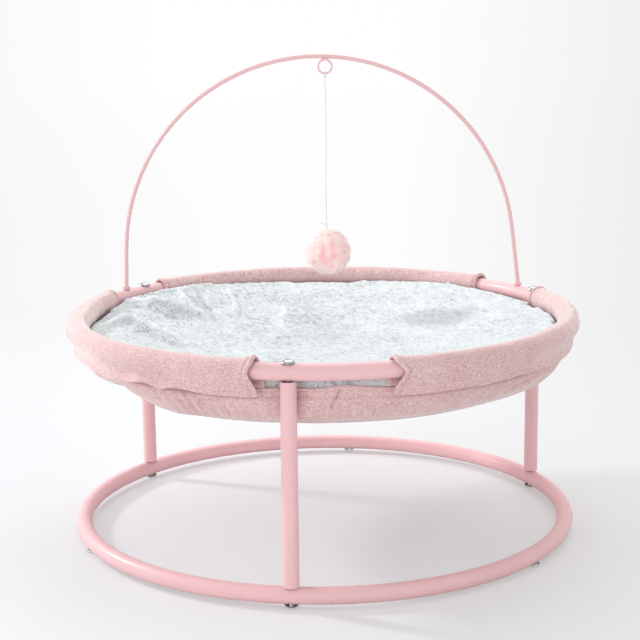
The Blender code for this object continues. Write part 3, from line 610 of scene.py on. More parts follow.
def add_floor():
    """A wide pale floor that keeps the bed's shadow and fades to white behind it. Its colour is
    a painted shade, darker behind the bed, and for the camera it glows with painted light, dimmer
    towards the right. Its shades go from left to right like the backdrop's, spread wider with the
    depth of the floor."""
    finish = Finish("pale_floor")
    x, y = finish.split("XY")
    depth = finish.maths("ABSOLUTE", y - FAN_TURN) + (FAN_TURN - CAMERA_PLACE[1])
    left_to_right = finish.clamp(x / depth, -SHADE_SPREAD, SHADE_SPREAD)
    reach = finish.maths("SQRT", x * x + y * y)
    # The floor's colour is a painted shade, darker behind the bed and most on the left
    front = finish.blend(left_to_right, *FRONT_PAINTED_SHADE)
    behind = finish.ramp(left_to_right, *BEHIND_PAINTED_SHADE)
    finish.paint("Base Color", finish.blend(finish.clamp(y, -0.36, -0.06), front, behind))
    finish.paint("Roughness", 0.9)

    # Painted light: the glow that the camera sees on the floor, dimmer towards the right
    near = finish.ramp(left_to_right, *NEAR_FLOOR_SHADES)
    back = finish.ramp(left_to_right, *BACK_FLOOR_SHADES)
    end = finish.ramp(left_to_right, *BACKDROP_SHADES)
    back = finish.blend(finish.clamp(reach, 2.0, 8.6), back, end)
    shade = finish.blend(finish.clamp(reach, 0.20, 1.20), near, back)
    glow = finish.node("Emission", {}, {"Color": shade})
    far = FLOOR_GLOW + (1 - FLOOR_GLOW) * finish.clamp(reach, 0.27, 1.15)
    share = far * finish.node("LightPath", output="Is Camera Ray")
    lit = Wire(finish, finish.shader.outputs[0])
    mixed = finish.node("MixShader", {}, {0: share, 1: lit, 2: glow})
    finish.feed(finish.tree.nodes["Material Output"].inputs[0], mixed)

    shape = bmesh.new()
    corners = ((-1, -1), (1, -1), (1, 1), (-1, 1))
    places = [(right * FLOOR_HALF, back * FLOOR_HALF, -FLOOR_DROP) for right, back in corners]
    shape.faces.new([shape.verts.new(place) for place in places])
    put_mesh("floor", shape, finish)


# String, as (drop, x, y) from its top under the upper knot
STRING_ROUTE = (
    (0.000, 0.0, 0.0), (0.012, 0.0, 0.0), (0.030, 0.0003, 0.0001), (0.052, 0.0005, -0.0002),
    (0.075, 0.0002, -0.0003), (0.098, -0.0003, 0.0), (0.118, -0.0002, 0.0002), (0.132, 0.0, 0.0),
    (0.142, 0.0, 0.0),
)
STRING_POINTS = 49
# Loose end of the string at the pompom's knot, from the knot's middle
KNOT_TAIL = (
    (0.0, 0.0, 0.0), (-0.0020, 0.0, 0.0022), (-0.0046, 0.0, 0.0036), (-0.0072, 0.0, 0.0030),
    (-0.0088, 0.0, 0.0012),
)
STRING_TOP = UPPER_KNOT - Vector((0, 0, KNOT / 2 + GAP))
LOWER_KNOT = STRING_TOP - Vector((0, 0, STRING_LENGTH + GAP + KNOT / 2))


def wound_knot(shape, centre):
    """A small knot: turns of string wound over each other."""
    reach = (KNOT - STRING) / 2
    for tilt, turn_by in ((0.5, 0.0), (-0.6, 1.1), (1.5, 2.2)):
        ring = []
        for step in range(13):
            turn = math.tau * step / 12
            point = Vector((reach * math.cos(turn), reach * math.sin(turn), 0.0))
            point.rotate(Matrix.Rotation(tilt, 3, "X") @ Matrix.Rotation(turn_by, 3, "Z"))
            ring.append(centre + point)
        tube_into(shape, ring, STRING / 2, 7)


def add_toy_string(finish):
    """The hanging string, the loop that ties it to the eyelet and the knots at both ends."""
    line = bpy.data.curves.new("pompom_string", "CURVE")
    line.dimensions = "3D"
    line.bevel_depth = STRING / 2
    line.bevel_resolution = 3
    line.use_fill_caps = True
    route = [STRING_TOP + Vector((x, y, -drop)) for drop, x, y in STRING_ROUTE]
    points = smooth_run(route, STRING_POINTS)
    spline = line.splines.new("POLY")
    spline.points.add(len(points) - 1)
    for target, point in zip(spline.points, points):
        target.co = (*point, 1.0)
    line.materials.append(finish.material)
    string = put("pompom_string", line)
    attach(string, "toy")
    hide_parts("toy_string")

    turns = bmesh.new()
    reach = EYELET_WIRE / 2 + GAP + STRING / 2
    for offset in (-0.0006, 0.0006):
        ring = []
        for step in range(25):
            turn = math.tau * step / 24
            sway = offset * (1.0 + 0.5 * math.cos(turn))
            place = Vector((sway, reach * math.sin(turn), reach * math.cos(turn)))
            ring.append(LOOP_PIVOT + place)
        tube_into(turns, ring, STRING / 2, 8)
    wound_knot(turns, UPPER_KNOT)
    loop = add_piece("string_turns", turns, finish, "toy_loop", 1)
    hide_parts("string_loop")

    tied = bmesh.new()
    wound_knot(tied, LOWER_KNOT)
    tail_line = [LOWER_KNOT + point for point in smooth_run(KNOT_TAIL, 17)]
    tube_into(tied, tail_line, STRING * 0.44, 7)
    knot = add_piece("pompom_tie", tied, finish, "toy", 1)
    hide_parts("pompom_knot")


# Each flap's two ends: the angle where the ring's outer side shows, then how much wider the
# flap is over the ring, at its root and at its hem, in degrees
FLAP_ENDS = {
    "left": ((-113.3, 0.2, -2.4, 1.2), (-14.6, 1.1, 2.7, 1.9)),
    "right": ((16.0, 2.1, 3.0, 2.3), (110.6, 0.3, 0.3, 0.3)),
    "rear": ((134.4, 0.8, 1.2, 2.0), (226.8, 0.8, 1.2, 1.8)),
}
# The next three tables hold marks on the flaps: angle, metres and width in degrees.
# Where a hem hangs lower (+) or is drawn up (-)
HEM_MARKS = {
    "left": (
        (-52.0, 0.0022, 6.0), (-39.6, -0.0032, 2.8), (-35.4, 0.0016, 1.6), (-30.0, -0.0034, 3.8),
        (-62.0, -0.0010, 4.0), (-78.0, 0.0012, 5.0), (-14.6, -0.0018, 1.8),
    ),
    "right": (
        (16.0, -0.0012, 1.8), (47.0, -0.0012, 3.5), (60.0, 0.0010, 5.0), (76.0, -0.0016, 4.0),
        (93.0, 0.0012, 6.0),
    ),
    "rear": ((158.0, -0.0014, 5.0), (186.0, 0.0014, 6.0), (207.0, -0.0012, 5.0)),
}
# Where a hem stands off the sling
HEM_GAPES = {
    "left": (
        (-40.6, 0.0030, 3.0), (-30.4, 0.0034, 4.0), (-60.0, 0.0010, 5.0), (-14.6, 0.0024, 3.0),
    ),
    "right": (
        (16.0, 0.0012, 3.0), (27.0, 0.0008, 7.0), (47.5, 0.0018, 3.0), (62.0, 0.0008, 6.0),
        (76.0, 0.0014, 5.0),
    ),
    "rear": ((150.0, 0.0014, 5.0), (178.0, 0.0018, 6.0), (204.0, 0.0015, 6.0)),
}
# Where a flap stands off the ring's inner side
ROOT_PUFFS = {
    "left": ((-90.0, 0.0040, 13.0), (-76.0, 0.0012, 4.0)),
    "right": ((100.0, 0.0012, 6.0), (84.0, 0.0010, 8.0)),
    "rear": ((196.0, 0.0012, 6.0), (168.0, 0.0010, 5.0)),
}
# How far a flap's two ends stand off the ring, in metres
END_LIFTS = {"left": (0.0010, 0.0026), "right": (0.0016, 0.0012), "rear": (0.0016, 0.0010)}
FLAP_SEED = {"left": 3.1, "right": 11.7, "rear": 23.9}
FLAP_STATIONS = 44
FLAP_STEP = 0.75


def marks(table, angle):
    """The sum of a table's marks at an angle."""
    return sum(size * turn_hump(angle, where, width) for where, size, width in table)


def evenly(first, last, steps):
    """Numbers at even steps."""
    return [first + (last - first) * k / steps for k in range(steps + 1)]


def from_ends(name, angle):
    """Degrees from the nearer end of a flap."""
    first, last = (end[0] for end in FLAP_ENDS[name])
    return min(angle - first, last - angle)


def rim_dip(angle):
    """How much lower the sling's rim hangs at the gap in front."""
    bare = window(angle, -21.0, -15.5, 17.0, 22.5)
    return 0.0027 * bare * (1.0 - 1.1 * hump(angle, 4.6, 4.6))


def flap_section():
    """Middle line of a flap's section from its root to its hem, as (outward, up), the way out
    of the cloth and the share of its run, with the length of the run."""
    reach = TUBE + GAP + FLAP_CLOTH / 2
    chosen = [(-0.0034, -ROOT_DROP), (-0.0052, -0.0084)]
    for turn in range(205, -34, -17):
        angle = math.radians(turn)
        chosen.append((reach * math.cos(angle), reach * math.sin(angle)))
    chosen += [(0.0046, -0.0090), (0.0024, -0.0128), (0.0018, -0.0170), (0.0020, -HEM_DROP)]
    fine = smooth_run(chosen, 400)
    lengths = [0.0]
    for here, there in zip(fine, fine[1:]):
        lengths.append(lengths[-1] + (there - here).length)
    section = []
    for step in range(FLAP_STATIONS):
        target = lengths[-1] * step / (FLAP_STATIONS - 1)
        index = min(range(len(fine)), key=lambda k: abs(lengths[k] - target))
        way = (fine[min(index + 3, len(fine) - 1)] - fine[max(index - 3, 0)]).normalized()
        section.append((fine[index], Vector((-way.y, way.x)), step / (FLAP_STATIONS - 1)))
    return section, lengths[-1]


FLAP_SECTION, FLAP_RUN = flap_section()


def end_reach(outward, up, flare):
    """Extra width of a flap's end in degrees. It is narrowest at the ring's outer side."""
    over_ring, at_root, at_hem = flare
    if outward > 0 and up < 0:
        return at_hem * min(-up / HEM_DROP, 1.0) ** 0.8
    if outward > 0:
        return over_ring * min(up / TUBE, 1.0)
    below_top = min((TUBE - up) / (TUBE + ROOT_DROP), 1.0)
    return over_ring + (at_root - over_ring) * max(below_top, 0.0)


def rumple(name, angle, share):
    """How far the cloth of a flap stands out in soft folds."""
    seed = FLAP_SEED[name]
    along = math.radians(angle) * RING
    down = share * FLAP_RUN
    tight = 1.0 - 0.72 * hump(share, 0.42, 0.17)
    folds = 0.0007 * lump(along / 0.030, down / 0.020, seed)
    folds += 0.0006 * lump(along / 0.011 + down / 0.016, down / 0.019, seed + 5.0)
    crease = 1.0 - abs(lump(along / 0.021 - down / 0.024, down / 0.026, seed + 9.0)) * 2.6
    folds -= 0.0008 * max(0.0, crease) ** 3
    folds += 0.00022 * lump(along / 0.0042, down / 0.0042, seed + 14.0)
    folds += 0.0011 * hump(share, 0.09, 0.09) * lump(along / 0.0045, down / 0.030, seed + 20.0)
    return folds * tight


def flap_point(name, angle, station, layer):
    """A point of a flap. Layer is -1 on its inner skin and 1 on its outer one."""
    middle, out, share = FLAP_SECTION[station]
    ends = FLAP_ENDS[name]
    seed = FLAP_SEED[name]
    along = math.radians(angle) * RING
    loose = ease(share, 0.66, 1.0)
    from_end = from_ends(name, angle)
    relief = 0.0
    if layer > 0:
        swell = 0.00090 * hump(from_end, BAND / 2, BAND * 0.36)
        seam = -0.00055 * hump(share * FLAP_RUN, FLAP_RUN - HEM_SEAM, 0.0007)
        seam -= 0.00130 * hump(from_end, BAND, 0.20)
        relief = max(rumple(name, angle, share), -0.0007) + swell + seam
    thick = FLAP_CLOTH / 2
    thick *= 1.0 - 0.55 * hump(from_end, 0.0, 0.22)
    drift = 0.0007 * (0.3 + 0.7 * lump(along / 0.034, 7.0, seed)) + marks(HEM_GAPES[name], angle)
    drop = marks(HEM_MARKS[name], angle) + 0.0008 * lump(along / 0.016, 2.0, seed)
    spot = middle + out * (layer * thick + relief) + Vector((drift * loose, -drop * loose))
    nearer = int(angle - ends[0][0] > ends[1][0] - angle)
    lift = END_LIFTS[name][nearer] * (1.0 - ease(from_end, 0.0, 3.2)) * ease(share, 0.20, 0.42)
    lift *= 1.0 - 0.4 * loose
    spot += out * (lift + marks(ROOT_PUFFS[name], angle) * hump(share, 0.20, 0.13))
    spot.y -= rim_dip(angle) * (1.0 - ease(share, 0.0, 0.12))
    reach = 0.0
    for (bulge, *flare), side in zip(ends, (-1, 1)):
        fade = max(0.0, 1.0 - abs(angle - bulge) / 9.0) ** 2
        reach += side * fade * end_reach(middle.x, middle.y, flare)
    return ring_point(angle + reach, RING + spot.x, RING_Z + spot.y)


def stitch_run(shape, spots, outs, length, radius):
    """Short stitches laid along spots. Each second gap between spots is left bare."""
    for index in range(0, len(spots) - 1, 2):
        here, there = spots[index], spots[index + 1]
        way = (there - here).normalized() * (length / 2)
        middle = (here + there) / 2
        sunk = outs[index] * radius
        lift = sunk * 0.6
        line = [
            middle - way - sunk,
            middle - way * 0.7 + lift * 0.6,
            middle + lift,
            middle + way * 0.7 + lift * 0.6,
            middle + way - sunk,
        ]
        tube_into(shape, line, [radius * 0.6, radius, radius, radius, radius * 0.6], 5)


def add_flap(name, finish, thread):
    """A padded linen flap: up inside the ring, over it and down outside to its hem."""
    first, last = (end[0] for end in FLAP_ENDS[name])
    angles = evenly(first, last, int((last - first) / FLAP_STEP))
    near_ends = (0.10, 0.22, 0.36, 0.50, 0.64, 0.84, 0.92, 1.00, 1.08, 1.18, 1.32)
    angles = [angle for angle in angles if from_ends(name, angle) > 1.45]
    angles = [first, *(first + step for step in near_ends), *angles]
    angles += [*(last - step for step in near_ends[::-1]), last]
    rings = []
    for angle in angles:
        inner = [flap_point(name, angle, k, -1) for k in range(FLAP_STATIONS)]
        outer = [flap_point(name, angle, k, 1) for k in range(FLAP_STATIONS)]
        rings.append(inner + outer[::-1])
    shape = bmesh.new()
    verts = skin_rings(shape, rings)
    for ring in (verts[0], verts[-1]):
        for k in range(FLAP_STATIONS - 1):
            shape.faces.new((ring[k], ring[k + 1], ring[-2 - k], ring[-1 - k]))
    bmesh.ops.recalc_face_normals(shape, faces=shape.faces[:])
    flap = add_piece("linen_flap_" + name, shape, finish, "frame", 1)
    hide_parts("flap_" + name)

    seams = bmesh.new()
    wide = math.radians(last - first) * RING
    seam_station = round((FLAP_STATIONS - 1) * (1.0 - HEM_SEAM / FLAP_RUN))
    hem_steps = int(wide / 0.0021)
    hem_angles = [first + 2.2 + (last - first - 4.4) * k / hem_steps for k in range(hem_steps + 1)]
    spots = [flap_point(name, angle, seam_station, 1) for angle in hem_angles]
    outs = [ring_point(angle, 1.0, 0.0) for angle in hem_angles]
    stitch_run(seams, spots, outs, *HEM_STITCH)
    for angle in (first + BAND, last - BAND):
        stations = range(12, FLAP_STATIONS - 3)
        spots = [flap_point(name, angle, k, 1) for k in stations]
        outs = [ring_point(angle, *FLAP_SECTION[k][1]) for k in stations]
        stitch_run(seams, spots, outs, *END_STITCH)
    sewn = add_piece("flap_stitches_" + name, seams, thread, "frame")


# Half section of the sling's outer face: its rim's inset from the ring's line and drop, then
# insets and shares of the sling's depth
SLING_RIM = (0.0032, 0.0120)
SLING_OUTLINE = (
    (0.0024, 0.28), (0.0022, 0.37), (0.0042, 0.48), (0.0100, 0.62), (0.0220, 0.77),
    (0.0450, 0.905), (0.0800, 0.97), (0.1400, 0.995), (0.2230, 1.0),
)
SLING_ROWS = 72
SLING_SECTION = [SLING_RIM, *((inset, share * SLING_DEPTH) for inset, share in SLING_OUTLINE)]
SLING_LINE = smooth_run(SLING_SECTION, SLING_ROWS)
LEG_ANGLES = (-7.0, 113.0, 233.0)
# Creases of the sling: angle and drop of both ends, depth and half width
SLING_CREASES = (
    ((-26.4, 0.0270), (-25.6, 0.0345), 0.0022, 0.0016),
    ((-31.0, 0.0235), (-29.2, 0.0310), -0.0016, 0.0030),
    ((-34.5, 0.0240), (-32.0, 0.0330), 0.0014, 0.0020),
    ((-22.5, 0.0250), (-23.5, 0.0350), -0.0014, 0.0030),
    ((3.4, 0.0165), (1.7, 0.0305), 0.0030, 0.0013),
    ((5.4, 0.0140), (3.9, 0.0320), -0.0012, 0.0026),
    ((44.0, 0.0330), (52.0, 0.0270), 0.0012, 0.0018),
    ((46.0, 0.0370), (55.0, 0.0300), -0.0012, 0.0034),
    ((64.0, 0.0260), (61.0, 0.0380), 0.0010, 0.0022),
    ((-52.0, 0.0260), (-48.0, 0.0350), 0.0010, 0.0022),
    ((-66.0, 0.0250), (-60.0, 0.0330), 0.0012, 0.0024),
)
# Where the sling hangs lower (+) or higher (-): angle, metres, width in degrees
SLING_SAGS = ((-58.5, -0.0090, 10.0), (-40.0, 0.0022, 6.0), (66.0, 0.0020, 14.0))
# Columns round the sling, then its stretches with close creases and their step, in degrees
SLING_COLUMNS = 420
FINE_STRETCHES = ((0.3, 7.3), (321.3, 341.3), (42.3, 57.3))
FINE_STEP = 0.28


def crease_depth(along, drop):
    """Depth of the sling's creases, at metres round the ring and a drop."""
    here = Vector((along, drop))
    depth = 0.0
    for (from_angle, from_drop), (to_angle, to_drop), deep, width in SLING_CREASES:
        start = Vector((math.radians(from_angle) * RING, from_drop))
        way = Vector((math.radians(to_angle) * RING, to_drop)) - start
        share = min(max((here - start).dot(way) / way.length_squared, 0.0), 1.0)
        away = (here - start - way * share).length
        if away < 4 * width:
            depth += deep * hump(away, 0.0, width)
    return depth


def sling_point(row, angle):
    """A point on the sling's outer face, with its pleats below the flaps' hems."""
    inset, drop = SLING_LINE[row]
    side = half_turn(angle)
    along = math.radians(side) * RING
    for leg in LEG_ANGLES:
        inset += max(0.0, 0.0079 - inset) * turn_hump(angle, leg, 4.0)
    # A rolled rim, a groove under it and a seam below the hems
    inset -= 0.0006 * hump(drop, 0.0134, 0.0011)
    inset += 0.0005 * hump(drop, 0.0152, 0.0006)
    inset += 0.0018 * hump(drop, 0.0214, 0.0015)
    tucks = turn_hump(angle, -40.6, 3.4) + turn_hump(angle, -30.4, 4.4)
    inset += 0.0024 * hump(drop, 0.0205, 0.0040) * tucks
    drop += rim_dip(side) * (1.0 - ease(drop, 0.0120, 0.0210))
    below = ease(drop, 0.0225, 0.0300)
    fade = below * (1.0 - 0.85 * ease(inset, 0.030, 0.090))
    for where, sag, width in SLING_SAGS:
        drop += sag * turn_hump(angle, where, width) * fade
    turn = math.radians(angle)
    right, back = Vector((math.sin(turn), -math.cos(turn)))
    pleat = 0.0010 * lump(right * 9.0, back * 9.0, drop / 0.050)
    pleat += 0.0006 * lump(right * 21.0, back * 21.0, drop / 0.040 + 3.0)
    pleat += 0.0021 * turn_hump(angle, -29.0, 7.0) * math.sin(along * math.tau / 0.0105)
    pleat += 0.0005 * lump(right * 45.0, back * 45.0, drop / 0.012)
    bare = window(side, -13.0, -10.0, 11.0, 14.0)
    inset += pleat * fade + crease_depth(along, drop) * max(below, bare)
    wide = RING - max(inset, 0.0)
    drop += 0.0007 * lump(wide * right / 0.05, wide * back / 0.05, 9.0) * fade
    return ring_point(angle, RING - inset, RING_Z - drop)


def add_sling(finish):
    """The linen bowl that hangs inside the ring."""
    angles = [360.0 * k / SLING_COLUMNS for k in range(SLING_COLUMNS)]
    for first, last in FINE_STRETCHES:
        angles = [angle for angle in angles if not first <= angle <= last]
        angles += evenly(first, last, round((last - first) / FINE_STEP))
    angles.sort()
    outer = [[sling_point(row, angle) for angle in angles] for row in range(SLING_ROWS - 1)]
    inner = []
    for row, ring in enumerate(outer):
        way = (SLING_LINE[row + 1] - SLING_LINE[max(row - 1, 0)]).normalized()
        line = []
        for point in ring:
            inward = Vector((-point.x, -point.y, 0.0)).normalized() * way.y
            inward.z = way.x
            line.append(point + inward * SLING_CLOTH)
        inner.append(line)
    shape = bmesh.new()
    outer_verts = skin_rings(shape, outer)
    inner_verts = skin_rings(shape, inner)
    rim, lining = outer_verts[0], inner_verts[0]
    for k in range(len(angles)):
        after = (k + 1) % len(angles)
        shape.faces.new((rim[k], rim[after], lining[after], lining[k]))
    fan_in(shape, outer_verts[-1])
    fan_in(shape, inner_verts[-1])
    bmesh.ops.recalc_face_normals(shape, faces=shape.faces[:])
    sling = add_piece("linen_sling", shape, finish, "frame")
    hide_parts("sling")


def add_strips(name, finish, tapes):
    """The loop strip on the sling and the hook strip inside the flap, with worn edges."""
    first, last = (end[0] for end in FLAP_ENDS[name])
    angles = evenly(first + 6.0, last - 6.0, 90)
    shares = (0.0, 0.06, 0.35, 0.65, 0.94, 1.0)
    for label, layer in (("loop", 0), ("hook", 1)):
        low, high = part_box(label + "_strip_" + name)
        inner = RING - TAPE_INSET + GAP + layer * TAPE_STEP
        rings = []
        for angle in angles:
            worn = 0.00055 if angle in (angles[0], angles[-1]) else 0.0
            tall = high.z - low.z - 2 * worn
            inside, outside = [], []
            for share in shares:
                height = low.z + worn + tall * share
                edge = 0.00015 if share in (0.0, 1.0) else 0.0
                nap = -edge if edge else 0.00008 * lump(angle * 3.1, share * 5.0, layer)
                inside.append(ring_point(angle, inner + edge, height))
                outside.append(ring_point(angle, inner + TAPE_CLOTH + nap, height))
            rings.append(inside + outside[::-1])
        shape = bmesh.new()
        cap_ends(shape, skin_rings(shape, rings))
        bmesh.ops.recalc_face_normals(shape, faces=shape.faces[:])
        strip = add_piece(label + "_tape_" + name, shape, finish, "frame")
        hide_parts(label + "_strip_" + name)
        tapes[label].append(strip)


# Where the plush edge rises or sinks along the rim: angle, rise, width in degrees
PAD_RIM_RISES = (
    (-135.0, 0.0060, 20.0), (180.0, -0.0020, 13.0), (143.0, 0.0040, 16.0),
    (-98.0, -0.0034, 11.0), (-113.0, 0.0034, 8.0), (106.0, -0.0014, 6.0),
)
# Folds of the plush: height, half width and a line of (angle, share of the rim's radius)
PAD_FOLDS = (
    (0.0095, 0.0066, (-117.0, 0.95), (-118.6, 0.88), (-120.4, 0.82),
     (-123.0, 0.745), (-130.0, 0.69)),
    (0.0105, 0.0072, (-87.0, 0.96), (-94.5, 0.87), (-92.6, 0.77),
     (-87.8, 0.70), (-76.0, 0.60), (-56.0, 0.57)),
    (-0.0040, 0.0070, (-112.5, 0.94), (-113.5, 0.85), (-114.5, 0.77),
     (-116.5, 0.70), (-120.0, 0.62)),
    (-0.0038, 0.0070, (-82.0, 0.90), (-86.0, 0.80), (-82.5, 0.70), (-72.0, 0.635), (-56.0, 0.62)),
    (0.0040, 0.0220, (-163.0, 0.62), (-152.0, 0.40), (-137.0, 0.16)),
    (-0.0035, 0.0160, (-134.0, 0.78), (-124.0, 0.52), (-110.0, 0.38)),
    (0.0030, 0.0240, (96.0, 0.84), (128.0, 0.72)),
    (0.0045, 0.0090, (-135.0, 0.96), (-131.0, 0.84), (-128.0, 0.70), (-122.0, 0.55)),
    (-0.0035, 0.0060, (-141.0, 0.92), (-137.0, 0.80), (-134.0, 0.66)),
    (0.0022, 0.0060, (-150.0, 0.90), (-146.0, 0.74), (-139.0, 0.60)),
)
PAD_RIM = RING - PAD_RIM_INSET
PAD_RIM_PUFF = 0.0020
# The pad's bulge under the bare ring in front: size, drop, half width and where it ends
BULGE = 0.0062
BULGE_DROP = 0.0142
BULGE_WIDTH = 0.0058
BULGE_END = 0.024
# Cloth simulation that fills the pad: frames and largest move of a point
FILL_FRAMES = 20
FILL_CAP = 0.0060


def pad_rim_drop(angle):
    """Drop of the plush edge below the ring's centre line."""
    return PAD_RIM_DROP - PAD_RIM_PUFF - marks(PAD_RIM_RISES, angle)


def pad_top(share, angle):
    """Height of the pad's top before its folds."""
    sag = PAD_SAG * (1.0 - share**2) ** 1.1 + pad_rim_drop(angle) * share**6
    sag += PAD_RIM_DROP * (1.0 - share**6)
    return RING_Z - sag


def fold_lines():
    """The fold lines of the plush, seen from above."""
    lines = []
    for height, width, *route in PAD_FOLDS:
        chosen = [ring_point(angle, PAD_RIM * share, 0.0) for angle, share in route]
        points = smooth_run(chosen, 6 * len(chosen))
        lines.append((height, width, np.array([point.xy for point in points])))
    return lines


FOLD_LINES = fold_lines()


def fold_heights(spots):
    """How far the folds lift the plush, and how strong the painted highlight on its crests is, at
    places seen from above.
    """
    lift = np.zeros(len(spots))
    crest_highlights = np.zeros(len(spots))
    for height, width, line in FOLD_LINES:
        nearest = np.full(len(spots), np.inf)
        along = np.zeros(len(spots))
        for index, (start, end) in enumerate(zip(line, line[1:])):
            way = end - start
            share = ((spots - start) @ way / (way @ way)).clip(0.0, 1.0)
            away = np.linalg.norm(spots - start - share[:, None] * way, axis=1)
            closer = away < nearest
            nearest[closer] = away[closer]
            along[closer] = (index + share[closer]) / (len(line) - 1)
        fade = ((1.0 - along) / 0.30).clip(0.0, 1.0)
        taper = fade * fade * (3.0 - 2.0 * fade)
        crest = 0.50 * np.exp(-((nearest / width) ** 2))
        crest += 0.50 * np.exp(-nearest / (0.32 * width))
        lift += height * taper * crest
        # Painted highlight along the crests of the raised folds
        crest_highlights += max(height, 0.0) / 0.010 * taper * np.exp(-((nearest / 0.0025) ** 2))
    return lift, crest_highlights


def pad_shell():
    """The pad before it is filled: a dished round cushion with an upright side."""
    columns = 180
    angles = [360.0 * k / columns for k in range(columns)]
    slack = 0.0035
    rings = []
    for share in (0.08, 0.2, 0.32, 0.44, 0.55, 0.65, 0.74, 0.82, 0.88, 0.93, 0.97):
        loose = slack * ease(1.0 - share, 0.0, 0.25)
        rings.append([ring_point(a, PAD_RIM * share, pad_top(share, a) - loose) for a in angles])
    for inset, under in ((0.0020, 0.0008), (0.0004, 0.0045)):
        reach, height = PAD_RIM - inset, RING_Z - under
        rings.append([ring_point(a, reach, height - pad_rim_drop(a)) for a in angles])
    rings.append([ring_point(a, PAD_RIM - 0.0004, RING_Z - 0.0170) for a in angles])
    lift = Vector((0.0, 0.0, 0.0034))
    for row in range(33, SLING_ROWS - 4, 3):
        rings.append([sling_point(row, a) * ((RING - 0.004) / RING) + lift for a in angles])
    shape = bmesh.new()
    verts = skin_rings(shape, rings)
    fan_in(shape, verts[0])
    fan_in(shape, verts[-1])
    bmesh.ops.recalc_face_normals(shape, faces=shape.faces[:])
    return shape


def apply_modifiers(piece):
    """Replace a piece's mesh by what its modifiers make."""
    bpy.context.view_layer.update()
    ready = piece.evaluated_get(bpy.context.evaluated_depsgraph_get())
    mesh = bpy.data.meshes.new_from_object(ready)
    piece.modifiers.clear()
    piece.data = mesh


def fill_pad(piece):
    """Fill the pad by a short cloth simulation with pressure. Its moves are capped."""
    remesh = piece.modifiers.new("even", "REMESH")
    remesh.mode = "VOXEL"
    remesh.voxel_size = 0.0050
    apply_modifiers(piece)
    before = [vert.co.copy() for vert in piece.data.vertices]
    cloth = piece.modifiers.new("fill", "CLOTH")
    cloth.settings.use_pressure = True
    cloth.settings.uniform_pressure_force = 4.0
    cloth.settings.quality = 5
    cloth.settings.mass = 0.3
    cloth.settings.effector_weights.gravity = 0.0
    cloth.point_cache.frame_start = 1
    cloth.point_cache.frame_end = FILL_FRAMES
    scene = bpy.context.scene
    for step in range(1, FILL_FRAMES + 1):
        scene.frame_set(step)
    apply_modifiers(piece)
    scene.frame_set(1)
    for vert, start in zip(piece.data.vertices, before):
        move = vert.co - start
        far = start.xy.length / PAD_RIM
        top = start.z > pad_top(min(far, 0.99), 0.0) - 0.0110
        room = (1.0 - ease(far, 0.80, 0.96)) if top else 0.0
        if move.length > FILL_CAP:
            move *= FILL_CAP / move.length
        vert.co = start + move * room


def bulge_in_gap(place, side, in_gap, shag):
    """Push a place on the pad's side out under the bare ring in front, clear of the tube."""
    drop = RING_Z - place.z
    if not 0.0 < drop < BULGE_END:
        return
    outward = Vector((place.x, place.y, 0.0)).normalized()
    room = in_gap * (1.0 - 0.80 * hump(side, LEG_ANGLES[0], 4.4))
    place += outward * (BULGE * room * hump(drop, BULGE_DROP, BULGE_WIDTH) + 0.4 * room * shag)
    away = Vector((place.xy.length - RING, place.z - RING_Z))
    clear = TUBE + 0.0006
    if away.length < clear:
        away *= clear / away.length - 1.0
        place += Vector((place.x, place.y, 0.0)).normalized() * away.x
        place.z += away.y


def add_pad(finish):
    """The plush pad: filled, folded and with its pile raised."""
    pad = add_piece("plush_cushion", pad_shell(), finish, "frame")
    fill_pad(pad)
    round_off(pad, 1)
    apply_modifiers(pad)
    mesh = pad.data
    mesh.shade_smooth()
    normals = [Vector(normal.vector) for normal in mesh.vertex_normals]
    folds, crest_highlights = fold_heights(np.array([vert.co.xy for vert in mesh.vertices]))
    # The crests' painted highlight, read by the plush's colour
    crest_highlight_mark = mesh.attributes.new("crest", "FLOAT", "POINT")
    crest_highlight_mark.data.foreach_set("value", crest_highlights.clip(0.0, 1.0))
    for vert, normal, fold in zip(mesh.vertices, normals, folds):
        place = vert.co
        far = place.xy.length / PAD_RIM
        if normal.z > 0.15 and far < 1.0:
            inside = 1.0 - ease(far, 0.86, 0.99)
            place.z += fold * inside * ease(normal.z, 0.15, 0.5)
            place.z += 0.0016 * inside * lump(place.x / 0.032, place.y / 0.032, 2.0)
            place.z += 0.0008 * inside * lump(place.x / 0.013, place.y / 0.013, 8.0)
        shag = 0.00085 * lump(place.x / 0.0042, place.y / 0.0055, place.z / 0.0050)
        shag += 0.00050 * lump(place.x / 0.0022, place.y / 0.0026, place.z / 0.0024)
        side = math.degrees(math.atan2(place.x, -place.y))
        in_gap = window(side, -17.0, -12.5, 14.0, 18.5)
        if in_gap and far > 0.9:
            bulge_in_gap(place, side, in_gap, shag)
        if normal.z > (0.3 if in_gap else -0.3):
            vert.co = place + normal * shag
    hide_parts("plush_pad")


# Fibres of the pompom and radius of the middle that they stand on
FIBRES = 5200
CORE_REACH = 0.0184


def pompom_core(centre, finish):
    """The lumpy middle that the fibres stand on."""
    shape = bmesh.new()
    bmesh.ops.create_icosphere(shape, subdivisions=5, radius=1.0)
    for vert in shape.verts:
        way = vert.co.normalized()
        reach = CORE_REACH + 0.0011 * lump(way.x * 3.0, way.y * 3.0, way.z * 3.0)
        reach += 0.0006 * lump(way.x * 9.0, way.y * 9.0, way.z * 4.0)
        vert.co = centre + way * reach
    return add_piece("pompom_middle", shape, finish, "toy")


